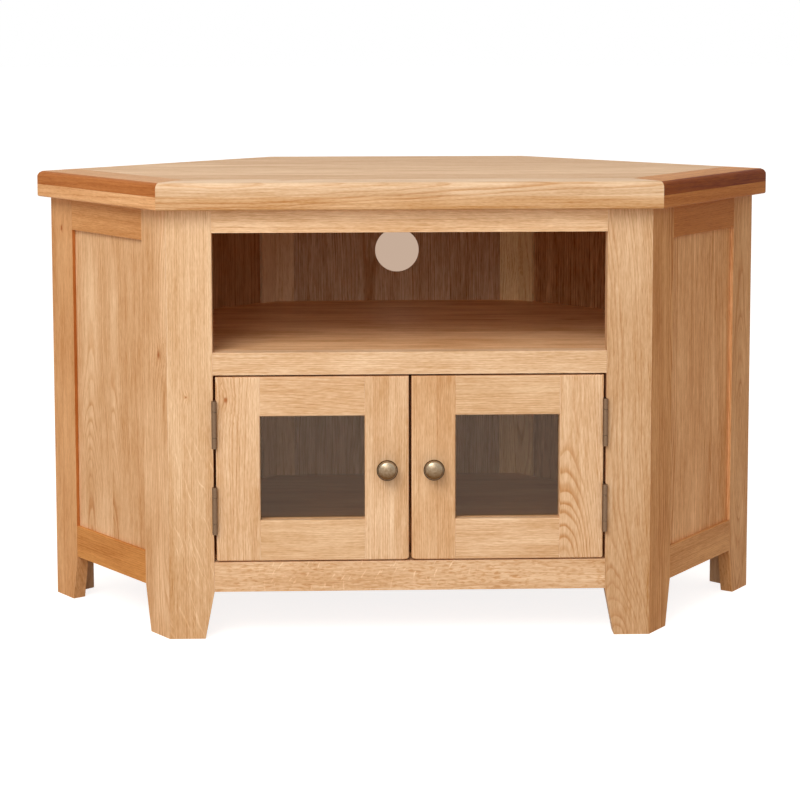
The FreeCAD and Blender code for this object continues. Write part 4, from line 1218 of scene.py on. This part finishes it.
room = bpy.data.worlds.new("studio")
bpy.context.scene.world = room
room.use_nodes = True
background = room.node_tree.nodes["Background"]
background.inputs["Color"].default_value = WHITE
white = calc(room.node_tree, "MULTIPLY_ADD", sees_white(room.node_tree), 1 - ROOM_LIGHT, ROOM_LIGHT)
feed(room.node_tree, background.inputs["Strength"], white)
print("room light:", ROOM_LIGHT)

# %% [markdown]
# ## Lamps
#
# One large soft lamp, up on the left, makes the front and the left side brighter than the right
# side and throws only a soft shadow under the top. A weaker one, low and beside the camera, reaches
# the back of the bay.

# %% Lamps
LAMP_DISTANCE = 4.2
KEY_LAMP = {"light": 0.52, "size": 2.2, "turn": math.radians(-27), "rise": math.radians(40)}
FILL_LAMP = {"light": 0.13, "size": 1.6, "turn": math.radians(-6), "rise": math.radians(14)}


def add_lamp(name, light, size, turn, rise):
    """A square soft lamp that gives a white wall facing it the brightness called light."""
    data = bpy.data.lights.new(name, "AREA")
    data.shape = "SQUARE"
    data.size = size
    data.energy = light * (math.pi * LAMP_DISTANCE) ** 2
    lamp = bpy.data.objects.new(name, data)
    outward = Vector((math.sin(turn) * math.cos(rise), -math.cos(turn) * math.cos(rise), math.sin(rise)))
    lamp.location = Vector((0, 0, (cad_low.z + cad_high.z) / 2)) + LAMP_DISTANCE * outward
    lamp.rotation_mode = "QUATERNION"
    lamp.rotation_quaternion = outward.to_track_quat("Z", "Y")
    bpy.context.scene.collection.objects.link(lamp)
    print(name, [round(value, 2) for value in lamp.location], "power:", round(data.energy), "W")


add_lamp("key lamp", **KEY_LAMP)
add_lamp("fill lamp", **FILL_LAMP)

# %% [markdown]
# ## The wall behind the cable hole
#
# Through the cable hole the photograph shows a shaded wall of a pinkish grey. A round card just
# behind the hole stands for it: it glows with that colour, a painted shade, and no lamp lights it.
# The back panel lies deeper than its frame, so the card hides there from the sides. From behind it is
# clear, so that the hole stays open, and it takes no part in the light.

# %% Card behind the hole
CARD_DISTANCE = 0.002
CARD_SPARE = 0.005
CARD_SEGMENTS = 48
WALL_SHADE = screen_colour(197, 171, 151)
hole = next(mount for mount in frame["record"]["mounts"] if mount["name"] == "cable_hole")
hole_radius = hole["dims"]["r_mm"] / 1000
print("hole:", hole["pos_m"], "radius:", hole_radius)

card_shape = bmesh.new()
bmesh.ops.create_circle(
    card_shape, cap_ends=True, segments=CARD_SEGMENTS, radius=hole_radius + CARD_SPARE
)
card_place = Matrix.Translation(Vector(hole["pos_m"]) + Vector((0, CARD_DISTANCE, 0)))
upright = Matrix.Rotation(math.pi / 2, 4, "X")
bmesh.ops.transform(card_shape, matrix=card_place @ upright, verts=card_shape.verts)
card_material, card_tree, _ = new_material("shaded_wall")
# The card glows with a fixed colour: painted shade of the wall behind the hole.
glow = card_tree.nodes.new("ShaderNodeEmission")
glow.inputs["Color"].default_value = WALL_SHADE
nothing = card_tree.nodes.new("ShaderNodeBsdfTransparent")
from_behind = card_tree.nodes.new("ShaderNodeNewGeometry").outputs["Backfacing"]
show_mix(card_tree, from_behind, glow, nothing)
card = object_from("card", card_shape, [card_material])
card.visible_diffuse = False
card.visible_shadow = False
